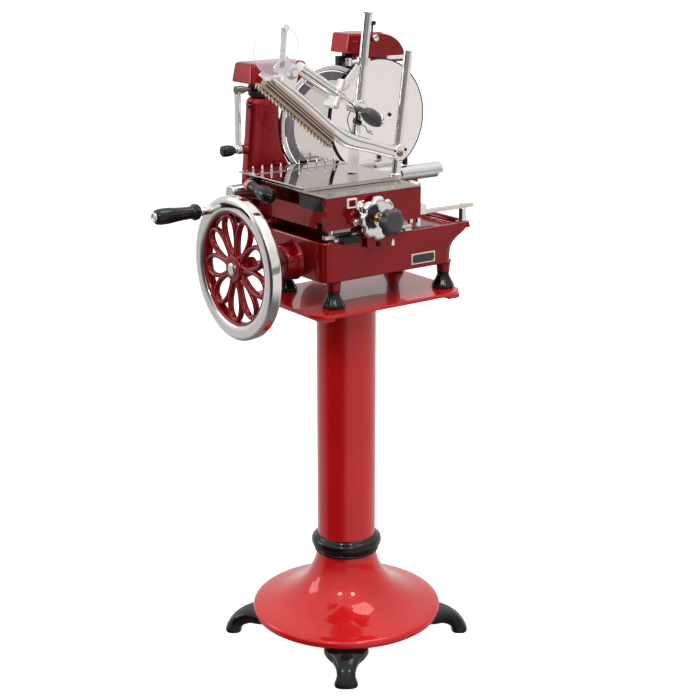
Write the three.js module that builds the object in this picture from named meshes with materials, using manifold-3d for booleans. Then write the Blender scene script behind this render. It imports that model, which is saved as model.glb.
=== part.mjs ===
// Hand cranked meat slicer on its pedestal stand.
// Millimetres, +Z up. The model is laid out about the stand's column: X runs along the machine,
// the operator stands on the -Y side, and the floor is z = 0. At the end the whole group is
// moved so that the origin is the middle of the footprint, on the floor.
import * as THREE from "three";
import { mergeVertices } from "three/addons/utils/BufferGeometryUtils.js";
import Module from "manifold-3d";

const wasm = await Module();
wasm.setup();

// Clearances
const SEAT = 0.3; // between pieces that touch
const RUNNING = 0.3; // round a shaft in its bore
const LAP = 0.5; // how far the shapes of one casting reach into each other

// Stand
const COLUMN_RADIUS = 63;
const COLUMN_WALL = 4;
const STAND_HEIGHT = 780;
const PLATE_THICKNESS = 8;
const PLATE = { x0: -160, x1: 222, y0: -130, y1: 130, corner: 38 };
const FRAME = { depth: 10, barWidth: 30, left: 18, right: 10, sides: 12, hubMargin: 15 };
const BELL_RADIUS = 207.5;
const BELL_UNDERSIDE = 57;
const BELL_TOP = 185;
const BELL_BORE = 58;
const BELL_FLANGE_INNER = 130;
const BELL_RIM = 14;
const BELL_NECK_MARGIN = 3;
const BELL_OUTSIDE = [[80, 169], [90, 145], [109, 112], [150, 90], [195, 77]];
const BELL_INSIDE = [[BELL_FLANGE_INNER, 86], [90, 122], [BELL_BORE, 170]];
const COLLAR_HEIGHT = 55;
// The collar's rings: how far each stands out from the column, and how high it lies.
const COLLAR_RINGS = [[4, 0], [6.5, 7], [3.5, 15], [11, 28], [11, 38], [3, COLLAR_HEIGHT]];
const STAND_FOOT_REACH = 272;
const STAND_FOOT_TURN = -36.15; // degrees, the first foot's direction from +X
// Each station of a stand foot: back from its tip, down from its top, half width, half depth, dip.
const STAND_FOOT_STATIONS = [
  [132, 14, 30, 14, 0],
  [90, 14, 44, 14, 0],
  [66, 15, 36, 13, 8],
  [46, 19, 26, 13, 25],
  [27, 31, 21, 13, 52],
];
const STAND_FOOT_TOE = [[17, 14, 21, 12.5, 78], [15, 5, 22.5, 14, 90], [15, 0, 22.5, 15, 90]];
const STAND_FOOT_NAMES = ["right", "back", "left", "front"];

// Base casting of the machine
const MACHINE_FOOT_HEIGHT = 42;
const MACHINE_FOOT_RADIUS = 24;
const LEG_RADIUS = 11.5;
const LEG_HEIGHT = 15.7;
const BASE = { x0: -130, x1: 204, y0: -106, y1: 135, corner: 25, height: 82 };
const BASE_TIP = 49; // how far the right end flares out
const BASE_WALL = 10;
const DECK_DROP = 12;
const DECK_THICKNESS = 8;
const COVER_THICKNESS = 3;
const FOOT_INSET = { left: 42, right: 6, front: 28, back: 40 };
const FOOT_POST_WALL = 5;
const FLARE = [[0, 0], [42, 0.15], [55, 0.45], [66, 0.92]];
const GUIDE_POST = { width: 20, depth: 20, foot: 65, past: 39 };
const RAIL_POST = { radius: 7.5, x: 34, boss: 15 };
const BASE_BOTTOM = STAND_HEIGHT + MACHINE_FOOT_HEIGHT + LEG_HEIGHT + SEAT;
const BASE_TOP = BASE_BOTTOM + BASE.height;
const DECK_TOP = BASE_TOP - DECK_DROP;
const DECK_BOTTOM = DECK_TOP - DECK_THICKNESS;

// Flywheel and drive
const WHEEL_RADIUS = 142;
const WHEEL_WIDTH = 27;
const WHEEL_FACE = -276;
const RIM_BAND = 21;
const HUB_RADIUS = 27;
const PETALS = 9;
const PETAL_PHASE = -6; // degrees from +Y towards +Z
const PETAL_THICKNESS = 10;
const PETAL_BAR = 8;
const PETAL_HALF = 21;
const DRIVE = { y: 6.6, z: (BASE_BOTTOM + DECK_BOTTOM) / 2 };
const DRIVE_SHAFT_RADIUS = 9;
const BOSS_RADIUS = 37;
const BOSS_LENGTH = 34;
const BOSS_STEP = 7;
const BOSS_SLEEVE = 14;
const CRANK_PIN_ANGLE = 54;
const SPINDLE_RADIUS = 6;
const GRIP_START = 12;
const GRIP_LENGTH = 112;
const GRIP_RADIUS = 16;
const GEAR_ROOM = 7; // above and below the bevel gears inside the base
const BEVEL_RADIUS = (DECK_BOTTOM - BASE_BOTTOM) / 2 - GEAR_ROOM;
const BEVEL_TEETH = 12;
const CRANK_X = 40;
const CRANK_THROW = 70;
const CRANK_SHAFT_RADIUS = 8;
const CRANK_ARM_THICKNESS = 10;
const CRANK_ARM_WIDTH = 18;
const CRANK_HUB_RADIUS = 18;
const CRANK_PIN_RADIUS = 6;
const ROD_EYE_RADIUS = 12;
const ROD_WIDTH = 14;
const ROD_LENGTH = 125;
const ROD_THICKNESS = 6;
const ROD_PIN_RADIUS = 5;
const CROSS_SHAFT_RADIUS = 6;
const BELT_WIDTH = 9;
const BELT_THICKNESS = 3;
const LOWER_PULLEY_RADIUS = 30;
const UPPER_PULLEY_RADIUS = 20;
const CASE = { wall: 3, room: 8, sleeveRadius: 22 };

// Blade, its guard and its carrier
const BLADE = { x: 105, y: 203, z: BASE_TOP + 180, radius: 115, thickness: 3, bevel: 19 };
const GUARD_WIDTH = 11.5;
const GUARD_THICKNESS = 9.5;
const BLADE_GAP = 1.5;
const BLADE_SHAFT_RADIUS = 8;
const BLADE_FLANGE_RADIUS = 30;
const NECK = { y0: 205, y1: 248, corner: 12, top: BASE_TOP + 252 };
// The neck's left and right sides at heights above the base.
const NECK_SIDES = [
  [25, -112, 30],
  [88, -104, 15],
  [140, -98, -12],
  [190, -93, -20],
  [230, -91, -18],
  [246, -90, -20],
];
const NECK_SHOULDER = [-86, -26];
const ARM = { y0: 219, y1: 246.7, halfHeight: 20, bossRadius: 26 };
const COVER_DISC = { x: 231, y: 198, z: BASE_TOP + 186, radius: 130, thickness: 2 };
const STUD = { x: 34, z: 5, radius: 7 };
const COLLAR_RADIUS = 24;
const COLLAR_DEPTH = 25;
const COLLAR_X = -62;
const LEVER_BAR = { x0: -120, x1: -112, width: 16 };
const LEVER_DROP = 109;
const LEVER_GRIP = 38;
const LEVER_SCREW = 4;
const LEVER_BOSS_RADIUS = 10;
const HEAD = { x0: -88, x1: 60, y0: 214, y1: 283, height: 47, taper: 6 };
const HOOD = {
  x0: 167,
  x1: 322,
  y0: 215,
  y1: 300,
  bottom: BASE_TOP + 332,
  skirt: BASE_TOP + 309,
  top: BASE_TOP + 373,
  wall: 3,
};
const STONE = { x: 168, drop: 36, radius: 17 };

// Carriage and product table
const BOX = { x0: -132, x1: 104, y0: -116, y1: 124, z0: BASE_TOP + 27, z1: BASE_TOP + 92, wall: 5 };
const TOP_PLATE_THICKNESS = 3.7;
const STROKE = 2 * CRANK_THROW;
const GUIDE = { y: 150, z: BASE_TOP + 70, radius: 13.5, x0: -175, x1: 368 };
const RAIL = { y: -90, width: 12, z0: BASE_TOP + 28, height: 8, x0: -110, x1: 266 };
const TRACK = { z0: BASE_TOP + 5, width: 14, height: 8, x0: -122, x1: 102 };
const SCREW = { x: -18, z: BASE_TOP + 43, radius: 5.5 };
const INDEX_WHEEL = { radius: 45, thickness: 23, lobes: 8 };
const KNOB = { radius: 29, thickness: 25, lobes: 6 };
const KNOB_STANDOFF = 24;
const TABLE = { x0: -140, x1: 106, y0: -52, y1: 194, thickness: 3, lift: 6 };
const TABLE_TOP = BOX.z1 + SEAT + TOP_PLATE_THICKNESS + TABLE.lift + TABLE.thickness;
const FEED_TRAVEL = 75;
const FEED_OVERRUN = 3;
const NUT = { y: 40, width: 20, length: 30 };
const GRIP_OFFSET = 26;
const BEARING = { length: 34, half: 18 };
const FORK = { half: 16, inner: 9, depth: 24, plate: 8 };
const SPIKE = { radius: 2, height: 13, pitch: 23, rowY: 157, rowGap: 17, count: 10 };

// Rods and meat press
const ROD_RADIUS = 8;
const ROD_LEAN = 0.118; // run along +X for each unit of height
const RIGHT_ROD = { x: 96, y: -42, top: BASE_TOP + 357 };
const TALL_ROD = { x: 40, y: 32, top: BASE_TOP + 430 };
const SLEEVE = { radius: 10.5, height: 54 };
const PRESS = { y0: -53, y1: -31 };
const PRESS_PIVOT = { x: 101, z: BASE_TOP + 152 };
const PRESS_RANGE = [-20, 20]; // degrees that the press arm swings about its clamp
const GRIPPER = { x: -71, z: BASE_TOP + 182, length: 210, slope: 141.4, y0: -52.5, y1: -30, thickness: 5 };
const TOOTH = { pitch: 10, height: 6 };
const KNUCKLE = { x: -165, z: BASE_TOP + 333, radius: 16 };
const GUARD_DISC = { x: -206, z: BASE_TOP + 378, radius: 52, thickness: 3 };
const CLAMP = { z: BASE_TOP + 230, height: 26, radius: 14 };
const OVAL_KNOB = { x: 52, length: 28, radius: 16, reach: 50, tilt: 35, stem: 7, boss: 6, bossEnd: 20 };
const STRUT_PIVOT = { x: 30, y: 11, z: CLAMP.z + 16 };
const STRUT_TIP = new THREE.Vector3(-126, -16, BASE_TOP + 336);
const STRUT_RADIUS = 12.5;
const STRUT_PIN_RADIUS = 4;
const LINK = { z: BASE_TOP + 332, footX: -8, footZ: BASE_TOP + 256 };
const PAWL = { x0: -62, z0: BASE_TOP + 64, width: 20, height: 17, tail: 8, thickness: 4.4 };

const RED = { color: 0xa8141b, roughness: 0.22, metalness: 0.1 };
const STAND_RED = { color: 0xc9222a, roughness: 0.3, metalness: 0.05 };
const BLACK_IRON = { color: 0x141416, roughness: 0.35, metalness: 0.2 };
const BLACK_PLASTIC = { color: 0x1d1d20, roughness: 0.3, metalness: 0 };
const CHROME = { color: 0xd9d9dc, roughness: 0.08, metalness: 1 };
const STEEL = { color: 0xb8b8b8, roughness: 0.3, metalness: 1 };
const MIRROR = { color: 0xe2e0de, roughness: 0.05, metalness: 1 };
const ALUMINIUM = { color: 0xc8c9cc, roughness: 0.35, metalness: 1 };
const BRASS = { color: 0xb99b5a, roughness: 0.3, metalness: 1 };
const NYLON = { color: 0xf2f0ea, roughness: 0.5, metalness: 0 };
const CLEAR = { color: 0xf0f2f6, roughness: 0.05, metalness: 0, transparent: true, opacity: 0.35 };
const RUBBER = { color: 0x2a2a2a, roughness: 0.8, metalness: 0 };

const X = new THREE.Vector3(1, 0, 0);
const Y = new THREE.Vector3(0, 1, 0);
const Z = new THREE.Vector3(0, 0, 1);
const slicer = new THREE.Group();

function at(x, y, z) {
  return new THREE.Vector3(x, y, z);
}

function radians(degrees) {
  return THREE.MathUtils.degToRad(degrees);
}

function piece(name, geometry, finish) {
  const mesh = new THREE.Mesh(geometry, new THREE.MeshStandardMaterial(finish));
  mesh.name = name;
  slicer.add(mesh);
  return mesh;
}

// Six times the enclosed volume, negative where the faces point inwards.
function windingOf(geometry) {
  const p = geometry.getAttribute("position");
  const a = new THREE.Vector3();
  const b = new THREE.Vector3();
  const c = new THREE.Vector3();
  let sum = 0;
  for (let i = 0; i < geometry.index.count; i += 3) {
    a.fromBufferAttribute(p, geometry.index.getX(i));
    b.fromBufferAttribute(p, geometry.index.getX(i + 1));
    c.fromBufferAttribute(p, geometry.index.getX(i + 2));
    sum += a.dot(b.cross(c));
  }
  return sum;
}

// Merges shared corners, drops faces without area and turns the faces outwards.
function closed(geometry) {
  const bare = geometry.clone();
  bare.deleteAttribute("normal");
  bare.deleteAttribute("uv");
  const merged = mergeVertices(bare, 1e-3);
  const index = [];
  for (let i = 0; i < merged.index.count; i += 3) {
    const [a, b, c] = [0, 1, 2].map((k) => merged.index.getX(i + k));
    if (a !== b && b !== c && a !== c) index.push(a, b, c);
  }
  merged.setIndex(index);
  if (windingOf(merged) < 0) {
    for (let i = 0; i < index.length; i += 3) [index[i + 1], index[i + 2]] = [index[i + 2], index[i + 1]];
    merged.setIndex(index);
  }
  return merged;
}

function solidOf(geometry) {
  const g = closed(geometry);
  const mesh = new wasm.Mesh({
    numProp: 3,
    vertProperties: new Float32Array(g.getAttribute("position").array),
    triVerts: new Uint32Array(g.index.array),
  });
  return new wasm.Manifold(mesh);
}

function geometryOf(solid) {
  const mesh = solid.getMesh();
  const geometry = new THREE.BufferGeometry();
  const position = new Float32Array(mesh.numVert * 3);
  for (let i = 0; i < mesh.numVert; i += 1) {
    position.set(mesh.vertProperties.subarray(i * mesh.numProp, i * mesh.numProp + 3), i * 3);
  }
  geometry.setAttribute("position", new THREE.BufferAttribute(position, 3));
  geometry.setIndex(new THREE.BufferAttribute(new Uint32Array(mesh.triVerts), 1));
  return geometry;
}

function join(...geometries) {
  return geometryOf(geometries.map(solidOf).reduce((whole, part) => whole.add(part)));
}

function cut(geometry, ...tools) {
  return geometryOf(tools.map(solidOf).reduce((left, tool) => left.subtract(tool), solidOf(geometry)));
}

function common(a, b) {
  return geometryOf(solidOf(a).intersect(solidOf(b)));
}

// A box between two opposite corners.
function block(x0, x1, y0, y1, z0, z1) {
  const box = new THREE.BoxGeometry(x1 - x0, y1 - y0, z1 - z0);
  return box.translate((x0 + x1) / 2, (y0 + y1) / 2, (z0 + z1) / 2);
}

// A turned piece: the profile's points are [radius, distance along the axis from the start].
function turned(profile, start, axis, sides = 20) {
  const points = profile.map(([r, t]) => new THREE.Vector2(r, t));
  const lathe = new THREE.LatheGeometry(points, sides);
  lathe.applyQuaternion(new THREE.Quaternion().setFromUnitVectors(Y, axis.clone().normalize()));
  return closed(lathe.translate(start.x, start.y, start.z));
}

function bar(start, end, radius, sides = 16) {
  const axis = end.clone().sub(start);
  const length = axis.length();
  return turned([[0, 0], [radius, 0], [radius, length], [0, length]], start, axis, sides);
}

function tube(start, end, radius, bore, sides = 32) {
  const axis = end.clone().sub(start);
  const length = axis.length();
  return turned([[bore, 0], [radius, 0], [radius, length], [bore, length], [bore, 0]], start, axis, sides);
}

// Joins rings of equally many points, one after another, and closes both ends.
function skin(rings) {
  const count = rings[0].length;
  const points = rings.flat();
  const middle = (ring) => ring.reduce((sum, p) => sum.add(p), new THREE.Vector3()).divideScalar(count);
  points.push(middle(rings[0]), middle(rings[rings.length - 1]));
  const index = [];
  for (let k = 0; k + 1 < rings.length; k += 1) {
    for (let i = 0; i < count; i += 1) {
      const a = k * count + i;
      const b = k * count + ((i + 1) % count);
      index.push(a, b, a + count, b, b + count, a + count);
    }
  }
  const last = (rings.length - 1) * count;
  for (let i = 0; i < count; i += 1) {
    const next = (i + 1) % count;
    index.push(points.length - 2, next, i);
    index.push(points.length - 1, last + i, last + next);
  }
  const geometry = new THREE.BufferGeometry().setFromPoints(points);
  geometry.setIndex(index);
  return closed(geometry);
}

// A level rounded rectangle as a ring of points.
function levelRing(x0, x1, y0, y1, corner, z, steps = 3) {
  const centres = [
    [x1 - corner, y1 - corner],
    [x0 + corner, y1 - corner],
    [x0 + corner, y0 + corner],
    [x1 - corner, y0 + corner],
  ];
  return centres.flatMap(([cx, cy], quarter) =>
    Array.from({ length: steps + 1 }, (_, i) => {
      const angle = (quarter + i / steps) * (Math.PI / 2);
      return at(cx + corner * Math.cos(angle), cy + corner * Math.sin(angle), z);
    }),
  );
}

function roundedBlock(x0, x1, y0, y1, z0, z1, corner, steps = 3) {
  return skin([levelRing(x0, x1, y0, y1, corner, z0, steps), levelRing(x0, x1, y0, y1, corner, z1, steps)]);
}

// A flat outline of [x, z] points, extruded from y0 to y1.
function uprightPlate(outline, y0, y1, holes = []) {
  const path = (points) => points.map(([x, z]) => new THREE.Vector2(x, z));
  const shape = new THREE.Shape(path(outline));
  shape.holes = holes.map((hole) => new THREE.Path(path(hole)));
  const plate = new THREE.ExtrudeGeometry(shape, { depth: y1 - y0, bevelEnabled: false, curveSegments: 1 });
  plate.rotateX(Math.PI / 2);
  return closed(plate.translate(0, y1, 0));
}

// The outline of a belt round two wheels in the XZ plane, the first one below.
function beltOutline(low, lowRadius, high, highRadius, steps = 10) {
  const distance = high.z - low.z;
  const lean = Math.asin((lowRadius - highRadius) / distance);
  const arc = (centre, radius, from, to) =>
    Array.from({ length: steps + 1 }, (_, i) => {
      const angle = from + ((to - from) * i) / steps;
      return [centre.x + radius * Math.cos(angle), centre.z + radius * Math.sin(angle)];
    });
  return [
    ...arc(high, highRadius, lean, Math.PI - lean),
    ...arc(low, lowRadius, Math.PI - lean, 2 * Math.PI + lean),
  ];
}

// A lobed disc about an axis along -Y: rounded grooves are pressed into its rim.
function lobedOutline(x, z, radius, lobes, depth, perLobe) {
  const count = lobes * perLobe;
  return Array.from({ length: count }, (_, i) => {
    const angle = (i / count) * 2 * Math.PI;
    const groove = Math.pow(0.5 - 0.5 * Math.cos(lobes * angle), 3);
    const r = radius - depth * groove;
    return [x + r * Math.cos(angle), z + r * Math.sin(angle)];
  });
}

// A straight bevel gear with its cone's tip at the origin and its axis along +Z.
// The teeth have sloping flanks and are cut thinner than their gaps, so that they run free.
function bevelGear(teeth, radius, coneAngle, face, hubRadius, hubLength) {
  const outer = radius / Math.sin(coneAngle);
  const addendum = (0.8 * Math.PI * radius) / teeth / Math.PI / outer;
  const root = (1.25 * Math.PI * radius) / teeth / Math.PI / outer;
  const step = (2 * Math.PI) / teeth;
  const ringAt = (reach) => {
    const ring = [];
    for (let i = 0; i < teeth; i += 1) {
      const corners = [[-0.27, -root], [-0.1, addendum], [0.1, addendum], [0.27, -root]];
      for (const [share, lift] of corners) {
        const turn = (i + share) * step;
        const cone = coneAngle + lift;
        const r = reach * Math.sin(cone);
        ring.push(at(r * Math.cos(turn), r * Math.sin(turn), reach * Math.cos(cone)));
      }
    }
    return ring;
  };
  const big = ringAt(outer);
  const back = outer * Math.cos(coneAngle);
  const hub = bar(at(0, 0, back - 2), at(0, 0, back + hubLength), hubRadius, 16);
  return join(skin([ringAt(outer - face), big]), hub);
}

function standPieces() {
  const plateBottom = STAND_HEIGHT - PLATE_THICKNESS;
  const frameBottom = plateBottom - FRAME.depth;
  const f = {
    x0: PLATE.x0 + FRAME.left,
    x1: PLATE.x1 - FRAME.right,
    y0: PLATE.y0 + FRAME.sides,
    y1: PLATE.y1 - FRAME.sides,
  };
  const sheet = roundedBlock(
    PLATE.x0,
    PLATE.x1,
    PLATE.y0,
    PLATE.y1,
    plateBottom,
    STAND_HEIGHT,
    PLATE.corner,
    5,
  );
  const frame = join(
    block(f.x0, f.x0 + FRAME.barWidth, f.y0, f.y1, frameBottom, plateBottom + LAP),
    block(f.x1 - FRAME.barWidth, f.x1, f.y0, f.y1, frameBottom, plateBottom + LAP),
    block(f.x0, f.x1, -FRAME.barWidth, FRAME.barWidth, frameBottom, plateBottom + LAP),
    bar(at(0, 0, frameBottom), at(0, 0, plateBottom + LAP), COLUMN_RADIUS + FRAME.hubMargin, 24),
  );
  piece("stand_top_plate", join(sheet, frame), STAND_RED);

  const bell = turned(
    [
      [BELL_BORE, BELL_TOP],
      [COLUMN_RADIUS + BELL_NECK_MARGIN, BELL_TOP],
      ...BELL_OUTSIDE,
      [BELL_RADIUS, BELL_UNDERSIDE + BELL_RIM],
      [BELL_RADIUS, BELL_UNDERSIDE],
      [BELL_FLANGE_INNER, BELL_UNDERSIDE],
      ...BELL_INSIDE,
      [BELL_BORE, BELL_TOP],
    ],
    at(0, 0, 0),
    Z,
    32,
  );
  piece("stand_base", bell, STAND_RED);

  const collarBottom = BELL_TOP + SEAT;
  const collar = turned(
    [
      [COLUMN_RADIUS + RUNNING, 0],
      ...COLLAR_RINGS.map(([out, height]) => [COLUMN_RADIUS + out, height]),
      [COLUMN_RADIUS + RUNNING, COLLAR_HEIGHT],
      [COLUMN_RADIUS + RUNNING, 0],
    ],
    at(0, 0, collarBottom),
    Z,
    32,
  );
  piece("stand_collar", collar, BLACK_IRON);

  const columnTop = at(0, 0, frameBottom - SEAT);
  const column = tube(at(0, 0, collarBottom), columnTop, COLUMN_RADIUS, COLUMN_RADIUS - COLUMN_WALL, 32);
  piece("stand_column", column, STAND_RED);

  STAND_FOOT_NAMES.forEach((name, i) => {
    piece(`stand_foot_${name}`, standFoot(STAND_FOOT_TURN + 90 * i), BLACK_IRON);
  });
}

// A paw foot: level under the bell, then bent down to a flat toe on the floor.
function standFoot(direction) {
  const underside = BELL_UNDERSIDE - SEAT;
  const tip = STAND_FOOT_REACH;
  const stations = [
    ...STAND_FOOT_STATIONS.map(([back, drop, ...section]) => [tip - back, underside - drop, ...section]),
    ...STAND_FOOT_TOE.map(([back, height, ...section]) => [tip - back, height, ...section]),
  ];
  const count = 10;
  const rings = stations.map(([reach, height, halfWidth, halfDepth, dip]) =>
    Array.from({ length: count }, (_, i) => {
      const angle = (i / count) * 2 * Math.PI;
      const across = halfWidth * Math.sign(Math.cos(angle)) * Math.sqrt(Math.abs(Math.cos(angle)));
      const deep = halfDepth * Math.sign(Math.sin(angle)) * Math.sqrt(Math.abs(Math.sin(angle)));
      const r = reach + deep * Math.sin(radians(dip));
      return at(r, across, height + deep * Math.cos(radians(dip)));
    }),
  );
  return skin(rings).rotateZ(radians(direction));
}

function footPlaces() {
  const xs = [BASE.x0 + FOOT_INSET.left, BASE.x1 - FOOT_INSET.right];
  const ys = [BASE.y0 + FOOT_INSET.front, BASE.y1 - FOOT_INSET.back];
  return {
    front_left: [xs[0], ys[0]],
    front_right: [xs[1], ys[0]],
    back_left: [xs[0], ys[1]],
    back_right: [xs[1], ys[1]],
  };
}

function basePieces() {
  for (const [name, [x, y]] of Object.entries(footPlaces())) {
    const r = MACHINE_FOOT_RADIUS;
    const h = MACHINE_FOOT_HEIGHT;
    const foot = turned(
      [
        [0, SEAT],
        [r, SEAT],
        [r, 6],
        [r - 9, 20],
        [LEG_RADIUS - 1, 35],
        [LEG_RADIUS + 0.5, 38],
        [LEG_RADIUS + 0.5, h - SEAT],
        [0, h - SEAT],
      ],
      at(x, y, STAND_HEIGHT),
      Z,
      14,
    );
    piece(`machine_foot_${name}`, foot, RUBBER);
  }
  piece("base_casting", baseCasting(), RED);

  const lidTop = BASE_BOTTOM + COVER_THICKNESS;
  const lid = roundedBlock(...coverLimits(SEAT), BASE_BOTTOM, lidTop, BASE.corner - BASE_WALL);
  const notches = Object.values(footPlaces()).map(([x, y]) => footPost(x, y, SEAT));
  piece("bottom_cover", cut(lid, ...notches), BLACK_IRON);
}

function coverLimits(gap) {
  const w = BASE_WALL + gap;
  return [BASE.x0 + w, BASE.x1 - w, BASE.y0 + w, BASE.y1 - w];
}

function footPost(x, y, gap) {
  return bar(at(x, y, BASE_BOTTOM - 1), at(x, y, DECK_BOTTOM + 1), LEG_RADIUS + FOOT_POST_WALL + gap, 8);
}

function baseCasting() {
  const rings = [...FLARE, [BASE.height, 1]].map(([height, share]) =>
    levelRing(BASE.x0, BASE.x1 + share * BASE_TIP, BASE.y0, BASE.y1, BASE.corner, BASE_BOTTOM + height),
  );
  const places = Object.values(footPlaces());
  const legs = places.map(([x, y]) =>
    bar(at(x, y, BASE_BOTTOM - LEG_HEIGHT), at(x, y, BASE_BOTTOM + 20), LEG_RADIUS, 12),
  );
  const boss = turned(
    [
      [0, 0],
      [BOSS_RADIUS - BOSS_STEP, 0],
      [BOSS_RADIUS - BOSS_STEP, BOSS_SLEEVE],
      [BOSS_RADIUS, BOSS_SLEEVE],
      [BOSS_RADIUS, BOSS_LENGTH + 2],
      [0, BOSS_LENGTH + 2],
    ],
    at(BASE.x0 - BOSS_LENGTH, DRIVE.y, DRIVE.z),
    X,
    24,
  );
  const bossTrim = block(
    BASE.x0 - 2 * BOSS_LENGTH,
    BASE.x0 + 5,
    DRIVE.y - 2 * BOSS_RADIUS,
    DRIVE.y + 2 * BOSS_RADIUS,
    BASE_BOTTOM - BOSS_RADIUS,
    BASE_BOTTOM,
  );
  const bracketFoot = block(
    guideBracketX() - GUIDE_POST.foot,
    guideBracketX() + GUIDE_POST.width,
    BASE.y1 - 16,
    GUIDE.y + GUIDE_POST.depth / 2,
    DECK_TOP - 4,
    BASE_TOP - 3,
  );
  const bracketPost = block(
    guideBracketX(),
    guideBracketX() + GUIDE_POST.width,
    GUIDE.y - GUIDE_POST.depth / 2,
    GUIDE.y + GUIDE_POST.depth / 2,
    DECK_TOP - 4,
    GUIDE.z - GUIDE.radius - SEAT,
  );
  const body = join(skin(rings), cut(boss, bossTrim), ...legs, bracketFoot, bracketPost);

  const posts = places.map(([x, y]) => footPost(x, y, 0));
  const hollow = cut(
    roundedBlock(...coverLimits(0), BASE_BOTTOM - 1, DECK_BOTTOM, BASE.corner - BASE_WALL),
    ...posts,
  );
  const w = BASE_WALL;
  const recess = roundedBlock(
    BASE.x0 + w,
    BASE.x1 + BASE_TIP - 2 * w,
    BASE.y0 + w,
    BASE.y1 - w,
    DECK_TOP,
    BASE_TOP + 1,
    BASE.corner - w,
  );
  const railSeat = bar(
    at(railPostX(), RAIL.y, DECK_TOP - 2),
    at(railPostX(), RAIL.y, BASE_TOP - SEAT),
    RAIL_POST.boss,
    20,
  );
  const driveBore = bar(
    at(BASE.x0 - BOSS_LENGTH - 1, DRIVE.y, DRIVE.z),
    at(BASE.x0 + w + 1, DRIVE.y, DRIVE.z),
    DRIVE_SHAFT_RADIUS + RUNNING,
  );
  const crankBore = bar(
    at(CRANK_X, DRIVE.y, DECK_BOTTOM - 1),
    at(CRANK_X, DRIVE.y, BASE_TOP + 2),
    CRANK_SHAFT_RADIUS + RUNNING,
  );
  const crossBore = bar(
    at(BLADE.x, BASE.y1 - w - 1, DRIVE.z),
    at(BLADE.x, BASE.y1 + 1, DRIVE.z),
    CROSS_SHAFT_RADIUS + RUNNING,
  );
  const crankBoss = bar(at(CRANK_X, DRIVE.y, DECK_TOP - 1), at(CRANK_X, DRIVE.y, BASE_TOP), CRANK_HUB_RADIUS);
  const recessed = join(cut(body, recess, hollow), railSeat, crankBoss);
  return cut(recessed, driveBore, crankBore, crossBore);
}

function guideBracketX() {
  return BOX.x1 + STROKE + GUIDE_POST.past;
}

function railPostX() {
  return BASE.x1 + RAIL_POST.x;
}

function railPieces() {
  const half = RAIL.width / 2;
  const ends = [RAIL.x0 + half, RAIL.x1 - half];
  const rail = join(
    block(ends[0], ends[1], RAIL.y - half, RAIL.y + half, RAIL.z0, RAIL.z0 + RAIL.height),
    ...ends.map((x) => bar(at(x, RAIL.y, RAIL.z0), at(x, RAIL.y, RAIL.z0 + RAIL.height), half, 20)),
    bar(at(railPostX(), RAIL.y, BASE_TOP), at(railPostX(), RAIL.y, RAIL.z0 + 1), RAIL_POST.radius),
    bar(at(RAIL.x0 + 8, RAIL.y, TRACK.z0 + TRACK.height + SEAT), at(RAIL.x0 + 8, RAIL.y, RAIL.z0 + 1), 5),
  );
  piece("front_rail", rail, STEEL);

  const trackHalf = TRACK.width / 2;
  const trackTop = TRACK.z0 + TRACK.height;
  const feet = [TRACK.x0 + 26, TRACK.x1 - 20].map((x) =>
    block(x - 8, x + 8, BASE.y0 + 1, RAIL.y + trackHalf, BASE_TOP + SEAT, TRACK.z0 + 1),
  );
  const track = join(
    block(TRACK.x0 + trackHalf, TRACK.x1, RAIL.y - trackHalf, RAIL.y + trackHalf, TRACK.z0, trackTop),
    bar(
      at(TRACK.x0 + trackHalf, RAIL.y, TRACK.z0),
      at(TRACK.x0 + trackHalf, RAIL.y, trackTop),
      trackHalf,
      20,
    ),
    ...feet,
  );
  piece("track_bar", track, STEEL);

  const guide = turned(
    [[0, 0], [GUIDE.radius, 0], [GUIDE.radius, GUIDE.x1 - GUIDE.x0], [0, GUIDE.x1 - GUIDE.x0]],
    at(GUIDE.x0, GUIDE.y, GUIDE.z),
    X,
    24,
  );
  piece("guide_bar", guide, ALUMINIUM);
}

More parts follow.
